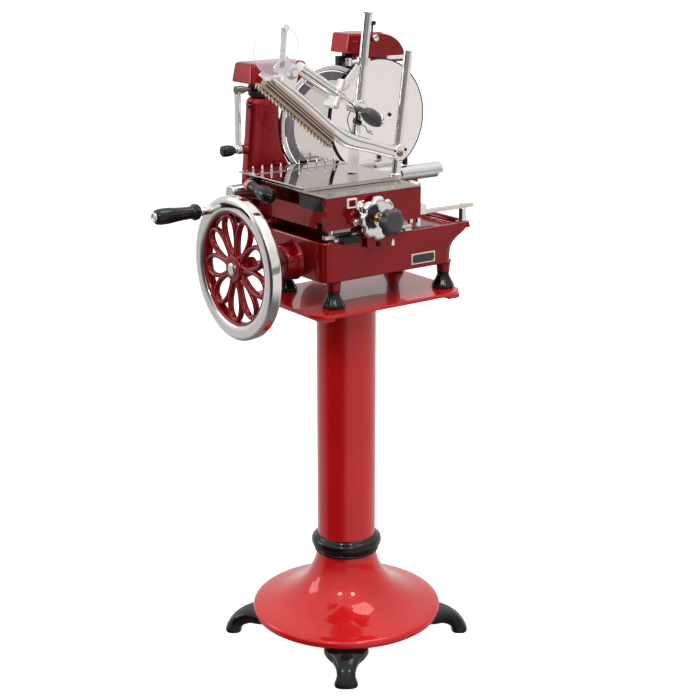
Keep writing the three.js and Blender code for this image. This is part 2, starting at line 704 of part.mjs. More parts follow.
// The rim, the nine petal loops and the hub are one casting.
function flywheelPieces() {
  const r = WHEEL_RADIUS;
  const inner = WHEEL_RADIUS - RIM_BAND;
  const w = WHEEL_WIDTH;
  const centre = at(WHEEL_FACE, DRIVE.y, DRIVE.z);
  const rim = turned(
    [[inner, 2], [r - 17, 0], [r - 3, 0], [r, 3], [r, w], [inner, w], [inner, 2]],
    centre,
    X,
    40,
  );
  const hub = turned(
    [[0, 2], [HUB_RADIUS, 2], [HUB_RADIUS, 22], [HUB_RADIUS - 8, 40], [HUB_RADIUS - 8, 52], [0, 52]],
    centre,
    X,
    16,
  );
  const reach = (HUB_RADIUS + inner) / 2;
  const halfLength = (inner - HUB_RADIUS) / 2 + 2;
  const loop = (long, wide) =>
    Array.from({ length: 12 }, (_, i) => {
      const angle = (i / 12) * 2 * Math.PI;
      return [reach + long * Math.cos(angle), wide * Math.sin(angle) * (1 + 0.2 * Math.cos(angle))];
    });
  const petals = Array.from({ length: PETALS }, (_, i) => {
    const hole = loop(halfLength - PETAL_BAR, PETAL_HALF - PETAL_BAR);
    const petal = uprightPlate(loop(halfLength, PETAL_HALF), 0, PETAL_THICKNESS, [hole]);
    petal.rotateZ(Math.PI / 2);
    petal.rotateX(radians(PETAL_PHASE + (360 / PETALS) * i));
    return petal.translate(WHEEL_FACE + 18, DRIVE.y, DRIVE.z);
  });
  const pin = crankPin();
  const pinBore = bar(
    at(WHEEL_FACE - 1, pin.y, pin.z),
    at(WHEEL_FACE + 14, pin.y, pin.z),
    SPINDLE_RADIUS + RUNNING,
  );
  const shaftBore = bar(
    at(WHEEL_FACE - 1, DRIVE.y, DRIVE.z),
    at(WHEEL_FACE + 60, DRIVE.y, DRIVE.z),
    DRIVE_SHAFT_RADIUS + RUNNING,
  );
  piece("flywheel", cut(join(rim, hub, ...petals), pinBore, shaftBore), RED);

  const tip = WHEEL_FACE - GRIP_START - GRIP_LENGTH;
  const spindle = turned(
    [
      [0, 0],
      [SPINDLE_RADIUS + 2.5, 0],
      [SPINDLE_RADIUS + 2.5, 4 - SEAT],
      [SPINDLE_RADIUS, 4 - SEAT],
      [SPINDLE_RADIUS, 4 + GRIP_LENGTH + SEAT],
      [SPINDLE_RADIUS + 5, 4 + GRIP_LENGTH + 2],
      [SPINDLE_RADIUS + 4, 4 + GRIP_LENGTH + GRIP_START - SEAT],
      [SPINDLE_RADIUS, 4 + GRIP_LENGTH + GRIP_START - SEAT],
      [SPINDLE_RADIUS, 4 + GRIP_LENGTH + GRIP_START + 13],
      [0, 4 + GRIP_LENGTH + GRIP_START + 13],
    ],
    at(tip - 4, pin.y, pin.z),
    X,
    16,
  );
  piece("handle_spindle", spindle, CHROME);

  const bore = SPINDLE_RADIUS + RUNNING;
  const g = GRIP_RADIUS;
  const grip = turned(
    [
      [bore, 0],
      [g - 5, 0],
      [g - 2, 4],
      [g, 28],
      [g - 3.5, 100],
      [g + 0.5, 105],
      [g + 0.5, 110],
      [g - 1, GRIP_LENGTH],
      [bore, GRIP_LENGTH],
      [bore, 0],
    ],
    at(tip, pin.y, pin.z),
    X,
    18,
  );
  piece("handle_grip", grip, BLACK_PLASTIC);
}

function crankPin() {
  const reach = WHEEL_RADIUS - RIM_BAND / 2;
  const angle = radians(CRANK_PIN_ANGLE);
  return { y: DRIVE.y + reach * Math.cos(angle), z: DRIVE.z + reach * Math.sin(angle) };
}

// Bevel gears take the drive up to the crank and across to the blade's belt.
function drivePieces() {
  const halfRight = Math.PI / 4;
  const step = (2 * Math.PI) / BEVEL_TEETH;
  const crankPinion = bevelGear(BEVEL_TEETH, BEVEL_RADIUS, halfRight, 9, 14, 6);
  crankPinion.rotateY(-Math.PI / 2).translate(CRANK_X, DRIVE.y, DRIVE.z);
  const bladeRatio = Math.atan2(2, 1);
  const bladeGear = bevelGear(BEVEL_TEETH, BEVEL_RADIUS, bladeRatio, 7, 14, 6);
  bladeGear.rotateY(-Math.PI / 2).translate(BLADE.x, DRIVE.y, DRIVE.z);
  const endX = BLADE.x - 4;
  const shaft = turned(
    [
      [0, 0],
      [13, 0],
      [13, 3 - SEAT],
      [DRIVE_SHAFT_RADIUS, 3 - SEAT],
      [DRIVE_SHAFT_RADIUS, endX - WHEEL_FACE],
      [0, endX - WHEEL_FACE],
    ],
    at(WHEEL_FACE - 1, DRIVE.y, DRIVE.z),
    X,
    20,
  );
  const trimmed = cut(
    shaft,
    block(endX - 8, endX + 8, DRIVE.y - 20, DRIVE.y + 20, DRIVE.z - 20, DRIVE.z + 20),
  );
  piece("drive_shaft", join(trimmed, crankPinion, bladeGear), STEEL);

  const crankGear = bevelGear(BEVEL_TEETH, BEVEL_RADIUS, halfRight, 9, 14, 2);
  crankGear.rotateZ(step / 2).translate(CRANK_X, DRIVE.y, DRIVE.z);
  const armBottom = BASE_TOP + 2;
  const armTop = armBottom + CRANK_ARM_THICKNESS;
  const pinX = CRANK_X - CRANK_THROW;
  const crank = join(
    crankGear,
    bar(at(CRANK_X, DRIVE.y, DRIVE.z + 18), at(CRANK_X, DRIVE.y, armTop), CRANK_SHAFT_RADIUS),
    bar(at(CRANK_X, DRIVE.y, armBottom), at(CRANK_X, DRIVE.y, armTop), CRANK_HUB_RADIUS),
    bar(at(pinX, DRIVE.y, armBottom), at(pinX, DRIVE.y, armTop), 2 * CRANK_PIN_RADIUS),
    block(pinX, CRANK_X, DRIVE.y - CRANK_ARM_WIDTH / 2, DRIVE.y + CRANK_ARM_WIDTH / 2, armBottom, armTop),
    bar(at(pinX, DRIVE.y, armTop - 1), at(pinX, DRIVE.y, rodBottom() - 0.8), CRANK_PIN_RADIUS),
  );
  piece("crank_shaft", crank, STEEL);

  const pinX2 = pinX + ROD_LENGTH;
  const rod = join(
    bar(at(pinX, DRIVE.y, rodBottom()), at(pinX, DRIVE.y, rodBottom() + ROD_THICKNESS), ROD_EYE_RADIUS),
    bar(at(pinX2, DRIVE.y, rodBottom()), at(pinX2, DRIVE.y, rodBottom() + ROD_THICKNESS), ROD_EYE_RADIUS),
    block(
      pinX,
      pinX2,
      DRIVE.y - ROD_WIDTH / 2,
      DRIVE.y + ROD_WIDTH / 2,
      rodBottom(),
      rodBottom() + ROD_THICKNESS,
    ),
  );
  const rodBore = bar(
    at(pinX2, DRIVE.y, rodBottom() - 1),
    at(pinX2, DRIVE.y, rodBottom() + ROD_THICKNESS + 1),
    ROD_PIN_RADIUS + RUNNING,
  );
  piece("connecting_rod", cut(rod, rodBore), STEEL);

  const pinionTeeth = BEVEL_TEETH / 2;
  const crossPinion = bevelGear(pinionTeeth, BEVEL_RADIUS / 2, Math.PI / 2 - bladeRatio, 7, 9, 6);
  crossPinion.rotateZ(Math.PI / pinionTeeth).rotateX(-Math.PI / 2).translate(BLADE.x, DRIVE.y, DRIVE.z);
  const beltY = beltPlace();
  const cross = join(
    crossPinion,
    bar(at(BLADE.x, DRIVE.y + BEVEL_RADIUS - 6, DRIVE.z), at(BLADE.x, beltY.y1, DRIVE.z), CROSS_SHAFT_RADIUS),
    bar(at(BLADE.x, beltY.y0, DRIVE.z), at(BLADE.x, beltY.y1, DRIVE.z), LOWER_PULLEY_RADIUS, 28),
  );
  piece("cross_shaft", cross, STEEL);

  const low = { x: BLADE.x, z: DRIVE.z };
  const beltInner = 0.5; // the belt's flats between its bends come this much nearer to the pulleys
  const outerBelt = beltOutline(
    low,
    LOWER_PULLEY_RADIUS + beltInner + BELT_THICKNESS,
    BLADE,
    UPPER_PULLEY_RADIUS + beltInner + BELT_THICKNESS,
    12,
  );
  const innerBelt = beltOutline(
    low,
    LOWER_PULLEY_RADIUS + beltInner,
    BLADE,
    UPPER_PULLEY_RADIUS + beltInner,
    12,
  );
  piece(
    "drive_belt",
    uprightPlate(outerBelt, beltY.y0 + 0.5, beltY.y0 + 0.5 + BELT_WIDTH, [innerBelt]),
    RUBBER,
  );

  const { wall, room, sleeveRadius } = CASE;
  const shell = cut(
    uprightPlate(
      beltOutline(low, LOWER_PULLEY_RADIUS + room + wall, BLADE, UPPER_PULLEY_RADIUS + room + wall),
      ARM.y1 + SEAT,
      beltY.y1 + 2 + wall,
    ),
    uprightPlate(
      beltOutline(low, LOWER_PULLEY_RADIUS + room, BLADE, UPPER_PULLEY_RADIUS + room),
      ARM.y1 + SEAT + wall,
      beltY.y1 + 2,
    ),
  );
  const sleeve = bar(
    at(BLADE.x, BASE.y1 + SEAT, DRIVE.z),
    at(BLADE.x, ARM.y1 + SEAT + 1, DRIVE.z),
    sleeveRadius,
  );
  const crossBore = bar(
    at(BLADE.x, BASE.y1, DRIVE.z),
    at(BLADE.x, ARM.y1 + 5, DRIVE.z),
    CROSS_SHAFT_RADIUS + RUNNING,
  );
  const bladeBore = bar(
    at(BLADE.x, ARM.y1, BLADE.z),
    at(BLADE.x, ARM.y1 + 5, BLADE.z),
    BLADE_SHAFT_RADIUS + RUNNING,
  );
  piece("drive_case", cut(join(shell, sleeve), crossBore, bladeBore), RED);
}

function rodBottom() {
  return BOX.z0 - ROD_THICKNESS - 1.7;
}

function beltPlace() {
  const y0 = ARM.y1 + SEAT + CASE.wall + 2;
  return { y0, y1: y0 + BELT_WIDTH + 1 };
}

function bladePieces() {
  const b = BLADE;
  const blade = turned(
    [
      [0, 0],
      [b.radius - b.bevel, 0],
      [b.radius, b.thickness - 0.5],
      [b.radius, b.thickness],
      [0, b.thickness],
    ],
    at(b.x, b.y, b.z),
    Y,
    48,
  );
  piece("blade", blade, MIRROR);

  const beltY = beltPlace();
  const flangeStart = b.y + b.thickness + SEAT;
  const shaft = join(
    bar(at(b.x, flangeStart, b.z), at(b.x, beltY.y1, b.z), BLADE_SHAFT_RADIUS),
    bar(at(b.x, flangeStart, b.z), at(b.x, ARM.y0 - 2, b.z), BLADE_FLANGE_RADIUS, 24),
    bar(at(b.x, beltY.y0, b.z), at(b.x, beltY.y1, b.z), UPPER_PULLEY_RADIUS, 24),
  );
  piece("blade_shaft", shaft, STEEL);

  const inner = b.radius + BLADE_GAP;
  const outer = inner + GUARD_WIDTH;
  const ring = turned(
    [[inner, 0], [outer, 0], [outer, GUARD_THICKNESS], [inner, GUARD_THICKNESS], [inner, 0]],
    at(b.x, b.y + 0.5, b.z),
    Y,
    48,
  );
  piece("guard_ring", ring, ALUMINIUM);

  piece("neck_casting", neckCasting(outer), RED);

  const c = COVER_DISC;
  const disc = turned(
    [[0, 0], [c.radius, 0], [c.radius, c.thickness], [0, c.thickness]],
    at(c.x, c.y, c.z),
    Y,
    48,
  );
  piece("cover_disc", disc, MIRROR);
}

// The neck, the foot that bolts to the base, the arm behind the blade with its bearing boss,
// and the right-hand arm that carries the cover disc and the sharpener.
function neckCasting(guardOuter) {
  const levels = NECK_SIDES.map(([height, x0, x1]) => [BASE_TOP + height, x0, x1]);
  levels.push([NECK.top, ...NECK_SHOULDER]);
  const column = skin(levels.map(([z, x0, x1]) => levelRing(x0, x1, NECK.y0, NECK.y1, NECK.corner, z)));
  const [footHeight, footX0, footX1] = NECK_SIDES[0];
  const footTop = BASE_TOP + footHeight + 0.5;
  const foot = roundedBlock(footX0, footX1, BASE.y1 - 34, NECK.y1, BASE_TOP + SEAT, footTop, NECK.corner);
  const barFoot = block(GUIDE.x0 + 2, -100, GUIDE.y - 12, GUIDE.y + 12, BASE_TOP + 4, BASE_TOP + 22);
  const barPost = block(
    GUIDE.x0 + 2,
    GUIDE.x0 + 24,
    GUIDE.y - 12,
    GUIDE.y + 12,
    BASE_TOP + 4,
    GUIDE.z - GUIDE.radius - SEAT,
  );
  const arm = block(-60, BLADE.x, ARM.y0, ARM.y1, BLADE.z - ARM.halfHeight, BLADE.z + ARM.halfHeight);
  const boss = bar(at(BLADE.x, ARM.y0, BLADE.z), at(BLADE.x, ARM.y1, BLADE.z), ARM.bossRadius, 24);
  const discX = COVER_DISC.x + STUD.x;
  const rightArm = block(BLADE.x, discX + 14, ARM.y0 + 3, ARM.y0 + 21, BLADE.z - 4, BLADE.z + 20);
  const upright = block(discX - 28, discX - 4, ARM.y0 + 3, ARM.y0 + 21, BLADE.z, HOOD.top - HOOD.wall - SEAT);
  const stud = bar(
    at(discX, COVER_DISC.y + COVER_DISC.thickness + SEAT, COVER_DISC.z + STUD.z),
    at(discX, ARM.y0 + 5, COVER_DISC.z + STUD.z),
    STUD.radius,
    20,
  );
  const ringX = BLADE.x + guardOuter - 6;
  const lug = bar(
    at(ringX, BLADE.y + 0.5 + GUARD_THICKNESS + SEAT, BLADE.z + 8),
    at(ringX, ARM.y0 + 5, BLADE.z + 8),
    5,
    16,
  );
  const bossEnd = LEVER_BAR.x1 + 4;
  const knobBoss = bar(at(-90, leverY(), leverZ()), at(bossEnd, leverY(), leverZ()), LEVER_BOSS_RADIUS, 20);
  const whole = join(column, foot, barFoot, barPost, arm, boss, rightArm, upright, stud, lug, knobBoss);
  const shaftBore = bar(
    at(BLADE.x, ARM.y0 - 1, BLADE.z),
    at(BLADE.x, ARM.y1 + 1, BLADE.z),
    BLADE_SHAFT_RADIUS + RUNNING,
  );
  const ringRoom = bar(
    at(BLADE.x, NECK.y0 - 5, BLADE.z),
    at(BLADE.x, BLADE.y + 0.5 + GUARD_THICKNESS + SEAT, BLADE.z),
    guardOuter + SEAT,
    48,
  );
  const screwBore = bar(
    at(-95, leverY(), leverZ()),
    at(bossEnd - 1, leverY(), leverZ()),
    LEVER_SCREW + RUNNING,
    16,
  );
  return cut(whole, shaftBore, ringRoom, screwBore);
}

function leverY() {
  return (NECK.y0 + NECK.y1) / 2;
}

function leverZ() {
  return NECK.top - LEVER_DROP;
}

function headPieces() {
  const collarTop = NECK.top + SEAT + COLLAR_DEPTH;
  const collar = turned(
    [[0, 0], [COLLAR_RADIUS - 2, 0], [COLLAR_RADIUS, 3], [COLLAR_RADIUS, COLLAR_DEPTH], [0, COLLAR_DEPTH]],
    at(COLLAR_X, leverY(), NECK.top + SEAT),
    Z,
    24,
  );
  piece("neck_collar", collar, BLACK_PLASTIC);

  const h = HEAD;
  const bottom = collarTop + SEAT;
  const ring = (inset, z) => levelRing(h.x0 + inset, h.x1 - inset, h.y0 + inset, h.y1 - inset, 7, z);
  const head = skin([
    ring(0, bottom),
    ring(h.taper - 2, bottom + h.height - 4),
    ring(h.taper + 2, bottom + h.height),
  ]);
  piece("neck_head", head, RED);

  const { x0, x1, width } = LEVER_BAR;
  const rodZ = collarTop - 9;
  const lever = join(
    block(x0, x1, leverY() - width / 2, leverY() + width / 2, leverZ(), rodZ),
    bar(at(x0, leverY(), leverZ()), at(x1, leverY(), leverZ()), width / 2 + 1, 20),
    bar(at(x0, leverY(), rodZ), at(x1, leverY(), rodZ), width / 2, 20),
    bar(at(x1 - 1, leverY(), rodZ), at(COLLAR_X - COLLAR_RADIUS - SEAT, leverY(), rodZ), 5.5, 20),
  );
  const screwHole = bar(
    at(x0 - 1, leverY(), leverZ()),
    at(x1 + 1, leverY(), leverZ()),
    LEVER_SCREW + RUNNING,
    16,
  );
  piece("lever_bar", cut(lever, screwHole), CHROME);

  const knob = turned(
    [
      [0, 0],
      [10, 0],
      [12, 10],
      [11, 26],
      [7, 31],
      [7, LEVER_GRIP],
      [LEVER_SCREW, LEVER_GRIP],
      [LEVER_SCREW, LEVER_GRIP + 18],
      [0, LEVER_GRIP + 18],
    ],
    at(LEVER_BAR.x0 - SEAT - LEVER_GRIP, leverY(), leverZ()),
    X,
    16,
  );
  piece("lever_knob", knob, BLACK_PLASTIC);
}

function sharpenerPieces() {
  const h = HOOD;
  const outline = (inset) => [
    [h.x0 + inset, h.bottom - (inset ? 5 : 0)],
    [h.x0 + 6 + inset, h.top - inset],
    [h.x0 + 102, h.top - inset],
    [h.x0 + 123, h.top - 7 - inset],
    [h.x1 - 14 - inset * 0.7, h.top - 21 - inset],
    [h.x1 - 2 - inset, h.top - 43],
    [h.x1 - inset, h.skirt - (inset ? 5 : 0)],
    [h.x0 + 40 + inset, h.skirt - (inset ? 5 : 0)],
    [h.x0 + 40 + inset, h.bottom - (inset ? 5 : 0)],
  ];
  const plan = (inset) => {
    const corners = [
      [h.x0 + 40 + inset * 0.4, h.y0 + inset],
      [h.x1 + 2, h.y0 + inset],
      [h.x1 + 2, h.y1 - inset],
      [h.x0 + inset, h.y1 - inset],
      [h.x0 + inset, h.y0 + 29 + inset * 0.8],
    ];
    return skin([h.skirt - 10, h.top + 10].map((z) => corners.map(([x, y]) => at(x, y, z))));
  };
  const outer = common(uprightPlate(outline(0), h.y0, h.y1), plan(0));
  const inner = common(uprightPlate(outline(h.wall), h.y0, h.y1), plan(h.wall));
  piece("sharpener_hood", cut(outer, inner), RED);

  const stoneX = STONE.x;
  const stoneZ = h.bottom - STONE.drop;
  const stoneY = BLADE.y + GUARD_THICKNESS + 2;
  const holderX = h.x0 + 11;
  const holder = join(
    block(holderX, holderX + 22, h.y0 + 34, h.y0 + 58, h.bottom - 14, h.top - h.wall - SEAT),
    block(stoneX - 6, holderX + 22, h.y0 + 34, h.y0 + 50, stoneZ - 8, h.bottom - 12),
    bar(at(stoneX, stoneY, stoneZ), at(stoneX, stoneY + 9, stoneZ), STONE.radius, 28),
    bar(at(stoneX, stoneY + 8, stoneZ), at(stoneX, h.y0 + 36, stoneZ), 5, 16),
  );
  piece("stone_holder", holder, BLACK_IRON);

  const leverX = h.x0 + 67;
  const stemY = h.y0 + 10;
  const lever = join(
    bar(at(leverX, stemY, h.top + SEAT), at(leverX + 1, stemY, h.top + 14), 2.5, 14),
    bar(at(leverX - 4, stemY, h.top + 17), at(leverX + 7, stemY, h.top + 17), 5, 18),
    bar(at(leverX + 1, stemY, h.top + 11), at(leverX + 1, stemY, h.top + 17), 3.5, 14),
  );
  piece("stone_lever", lever, BLACK_PLASTIC);
}

function carriagePieces() {
  piece("carriage_box", carriageBox(), RED);

  const b = BOX;
  const z = b.z1 + SEAT;
  const slotHalf = NUT.width / 2 + 4;
  const slot = block(
    SCREW.x - slotHalf,
    SCREW.x + slotHalf,
    NUT.y - FEED_TRAVEL - 8,
    NUT.y + NUT.length + FEED_OVERRUN + 8,
    z - 1,
    z + 10,
  );
  piece("carriage_top_plate", cut(block(b.x0, b.x1, b.y0, b.y1, z, z + TOP_PLATE_THICKNESS), slot), STEEL);

  const blocks = [b.x0 + 2, b.x1 - BEARING.length].map((x) =>
    block(x, x + BEARING.length, b.y1 + SEAT, GUIDE.y + 16, GUIDE.z - BEARING.half, GUIDE.z + BEARING.half),
  );
  const strip = block(b.x0 + 2, b.x1, b.y1 + SEAT, b.y1 + 9, GUIDE.z - 14, GUIDE.z + 10);
  const handleArm = block(
    gripX() - 12,
    b.x0 + 4,
    b.y1 + SEAT,
    b.y1 + 9,
    GUIDE.z + 6,
    TABLE_TOP - TABLE.thickness - 2,
  );
  const guideBore = bar(
    at(b.x0 - 60, GUIDE.y, GUIDE.z),
    at(b.x1 + 5, GUIDE.y, GUIDE.z),
    GUIDE.radius + RUNNING,
    24,
  );
  piece("carriage_bearing", cut(join(...blocks, strip, handleArm), guideBore), BLACK_IRON);

  const grip = turned(
    [
      [0, 0],
      [11.5, 0],
      [11.5, 17],
      [9.5, 20],
      [13.5, 60],
      [14, 84],
      [7, 101],
      [0, 103],
    ],
    at(gripX(), b.y1 + SEAT + 2.6, GUIDE.z + 18),
    at(0, -1, -0.15),
    18,
  );
  piece(
    "carriage_grip",
    cut(grip, block(gripX() - 20, gripX() + 20, b.y1, b.y1 + 20, GUIDE.z, GUIDE.z + 40)),
    BLACK_PLASTIC,
  );

  const f = FORK;
  const fork = join(
    block(b.x1 + SEAT, b.x1 + f.plate, RAIL.y - f.half, RAIL.y + f.half, TRACK.z0 + 2, b.z1 + 6),
    block(b.x1 + SEAT, b.x1 + f.depth, RAIL.y - f.inner, RAIL.y + f.inner, railTop() + SEAT, railTop() + 14),
    block(b.x1 + SEAT, b.x1 + f.depth, RAIL.y - f.half, RAIL.y - f.inner, RAIL.z0 + 2, railTop() + 14),
    block(b.x1 + SEAT, b.x1 + f.depth, RAIL.y + f.inner, RAIL.y + f.half, RAIL.z0 + 2, railTop() + 14),
  );
  const forkRoom = block(
    b.x1,
    b.x1 + f.depth + 6,
    RAIL.y - f.inner,
    RAIL.y + f.inner,
    TRACK.z0,
    railTop() + SEAT,
  );
  piece("rail_guide", cut(fork, forkRoom), CHROME);

  const pawlFront = b.y0 - SEAT - PAWL.thickness;
  const pawlMiddle = PAWL.x0 + PAWL.width / 2;
  const pawl = join(
    roundedBlock(PAWL.x0, PAWL.x0 + PAWL.width, pawlFront, b.y0 - SEAT, PAWL.z0, PAWL.z0 + PAWL.height, 2, 2),
    block(
      pawlMiddle - PAWL.tail / 2,
      pawlMiddle + PAWL.tail / 2,
      pawlFront,
      b.y0 - SEAT,
      PAWL.z0 - PAWL.tail,
      PAWL.z0 + 1,
    ),
  );
  piece("index_pawl", pawl, CHROME);
}

function carriageBox() {
  const b = BOX;
  const w = b.wall;
  const pinX = CRANK_X - CRANK_THROW + ROD_LENGTH;
  const shell = cut(
    block(b.x0, b.x1, b.y0, b.y1, b.z0, b.z1),
    block(b.x0 + w, b.x1 - w, b.y0 + w, b.y1 - w, b.z0 - 1, b.z1 + 1),
  );
  const bracket = block(SCREW.x - 14, SCREW.x + 38, b.y0, b.y0 + w, b.z0 - 46, b.z0 + 1);
  const pinBoss = block(pinX - 11, b.x1 - 1, DRIVE.y - 11, DRIVE.y + 11, b.z0, b.z0 + 40);
  const pin = bar(at(pinX, DRIVE.y, rodBottom() - 1), at(pinX, DRIVE.y, b.z0 + 1), ROD_PIN_RADIUS, 20);
  const window = block(b.x0 - 1, b.x0 + w + 1, b.y0 + 12, 60, b.z0 + 39, b.z1 + 1);
  const railNotches = [b.x0, b.x1 - w].map((x) => block(
    x - 1,
    x + w + 1,
    RAIL.y - 11,
    RAIL.y + 11,
    b.z0 - 1,
    railTop() + 5,
  ));
  const screwBore = bar(
    at(SCREW.x, b.y0 - 1, SCREW.z),
    at(SCREW.x, b.y1 + 1, SCREW.z),
    SCREW.radius + RUNNING,
  );
  return cut(join(shell, bracket, pinBoss, pin), window, ...railNotches, screwBore);
}

function railTop() {
  return RAIL.z0 + RAIL.height;
}

function gripX() {
  return BOX.x0 - GRIP_OFFSET;
}

function feedPieces() {
  const front = BOX.y0 - 1;
  const wheelFront = front - INDEX_WHEEL.thickness;
  const knobBack = wheelFront - KNOB_STANDOFF;
  const screw = bar(at(SCREW.x, knobBack + SEAT, SCREW.z), at(SCREW.x, BOX.y1 - SEAT, SCREW.z), SCREW.radius);
  piece("feed_screw", screw, BRASS);

  const rim = uprightPlate(
    lobedOutline(SCREW.x, SCREW.z, INDEX_WHEEL.radius, INDEX_WHEEL.lobes, 6, 5),
    wheelFront + 2,
    front - 5,
  );
  const face = uprightPlate(
    lobedOutline(SCREW.x, SCREW.z, INDEX_WHEEL.radius - 3, INDEX_WHEEL.lobes, 6, 5),
    wheelFront,
    wheelFront + 2.5,
  );
  const flange = bar(at(SCREW.x, front - 6, SCREW.z), at(SCREW.x, front, SCREW.z), 24);
  const bore = bar(
    at(SCREW.x, wheelFront - 1, SCREW.z),
    at(SCREW.x, front + 1, SCREW.z),
    SCREW.radius + RUNNING,
  );
  piece("index_wheel", cut(join(rim, face, flange), bore), ALUMINIUM);

  const body = uprightPlate(
    lobedOutline(SCREW.x, SCREW.z, KNOB.radius, KNOB.lobes, 4, 6),
    knobBack - 16,
    knobBack - 4,
  );
  const cap = uprightPlate(
    lobedOutline(SCREW.x, SCREW.z, KNOB.radius - 4, KNOB.lobes, 4, 6),
    knobBack - KNOB.thickness,
    knobBack - 15.5,
  );
  const hub = bar(at(SCREW.x, knobBack - 5, SCREW.z), at(SCREW.x, knobBack, SCREW.z), 13);
  piece("feed_knob", join(body, cap, hub), BLACK_PLASTIC);
}

function tablePieces() {
  const t = TABLE;
  const under = TABLE_TOP - t.thickness;
  const strips = [t.x0 + 44, t.x1 - 44].map((x) =>
    block(x - 5, x + 5, t.y0 + 7, BOX.y1 - FEED_OVERRUN - 2, under - t.lift + SEAT, under + 0.5),
  );
  const half = NUT.width / 2;
  const nut = block(SCREW.x - half, SCREW.x + half, NUT.y, NUT.y + NUT.length, SCREW.z - half, under + LAP);
  const nutBore = bar(
    at(SCREW.x, NUT.y - 1, SCREW.z),
    at(SCREW.x, NUT.y + NUT.length + 1, SCREW.z),
    SCREW.radius + RUNNING,
  );
  const table = join(roundedBlock(t.x0, t.x1, t.y0, t.y1, under, TABLE_TOP, 4, 2), ...strips, nut);
  piece("product_table", cut(table, nutBore), MIRROR);

  const s = SPIKE;
  const top = TABLE_TOP + SEAT;
  const strip = block(t.x0 + 6, t.x1 - 4, s.rowY - s.rowGap - 5, s.rowY + 5, top, top + 1.2);
  const spike = (x, y) => turned(
    [[0, 0], [s.radius, 0], [s.radius, s.height - 3], [0, s.height]],
    at(x, y, top),
    Z,
    5,
  );
  const spikes = Array.from({ length: s.count }, (_, i) => [
    spike(t.x0 + 15 + s.pitch * i, s.rowY),
    i + 1 < s.count ? spike(t.x0 + 15 + s.pitch * (i + 0.5), s.rowY - s.rowGap) : null,
  ]);
  piece("spike_row", join(strip, ...spikes.flat().filter(Boolean)), STEEL);

  piece("right_rod", leaningRod(RIGHT_ROD, ROD_RADIUS), CHROME);
  const tall = join(
    leaningRod(TALL_ROD, ROD_RADIUS),
    rodSlice(TALL_ROD, TALL_ROD.top - 2, TALL_ROD.top + 1, ROD_RADIUS + 3),
  );
  piece("tall_rod", tall, CHROME);
  const sleeve = leaningRod({ ...TALL_ROD, top: TABLE_TOP + SLEEVE.height }, SLEEVE.radius);
  piece(
    "rod_sleeve",
    cut(sleeve, rodSlice(TALL_ROD, TABLE_TOP - 30, TALL_ROD.top, ROD_RADIUS + SEAT)),
    NYLON,
  );
}

// The point of a leaning rod's axis at height z.
function rodPoint(rod, z) {
  return at(rod.x + ROD_LEAN * (z - TABLE_TOP), rod.y, z);
}

function rodSlice(rod, z0, z1, radius, sides = 16) {
  return bar(rodPoint(rod, z0), rodPoint(rod, z1), radius, sides);
}

// A rod that leans along +X, cut off level where it stands on the table.
function leaningRod(rod, radius) {
  const below = block(rod.x - 60, rod.x + 60, rod.y - 60, rod.y + 60, TABLE_TOP - 60, TABLE_TOP + SEAT);
  return cut(rodSlice(rod, TABLE_TOP - 10, rod.top, radius), below);
}

// A point given along the gripper's line and square to it, as [x, z].
function onGripper(along, across) {
  const angle = radians(GRIPPER.slope);
  const u = [Math.cos(angle), Math.sin(angle)];
  return [GRIPPER.x + along * u[0] + across * u[1], GRIPPER.z + along * u[1] - across * u[0]];
}

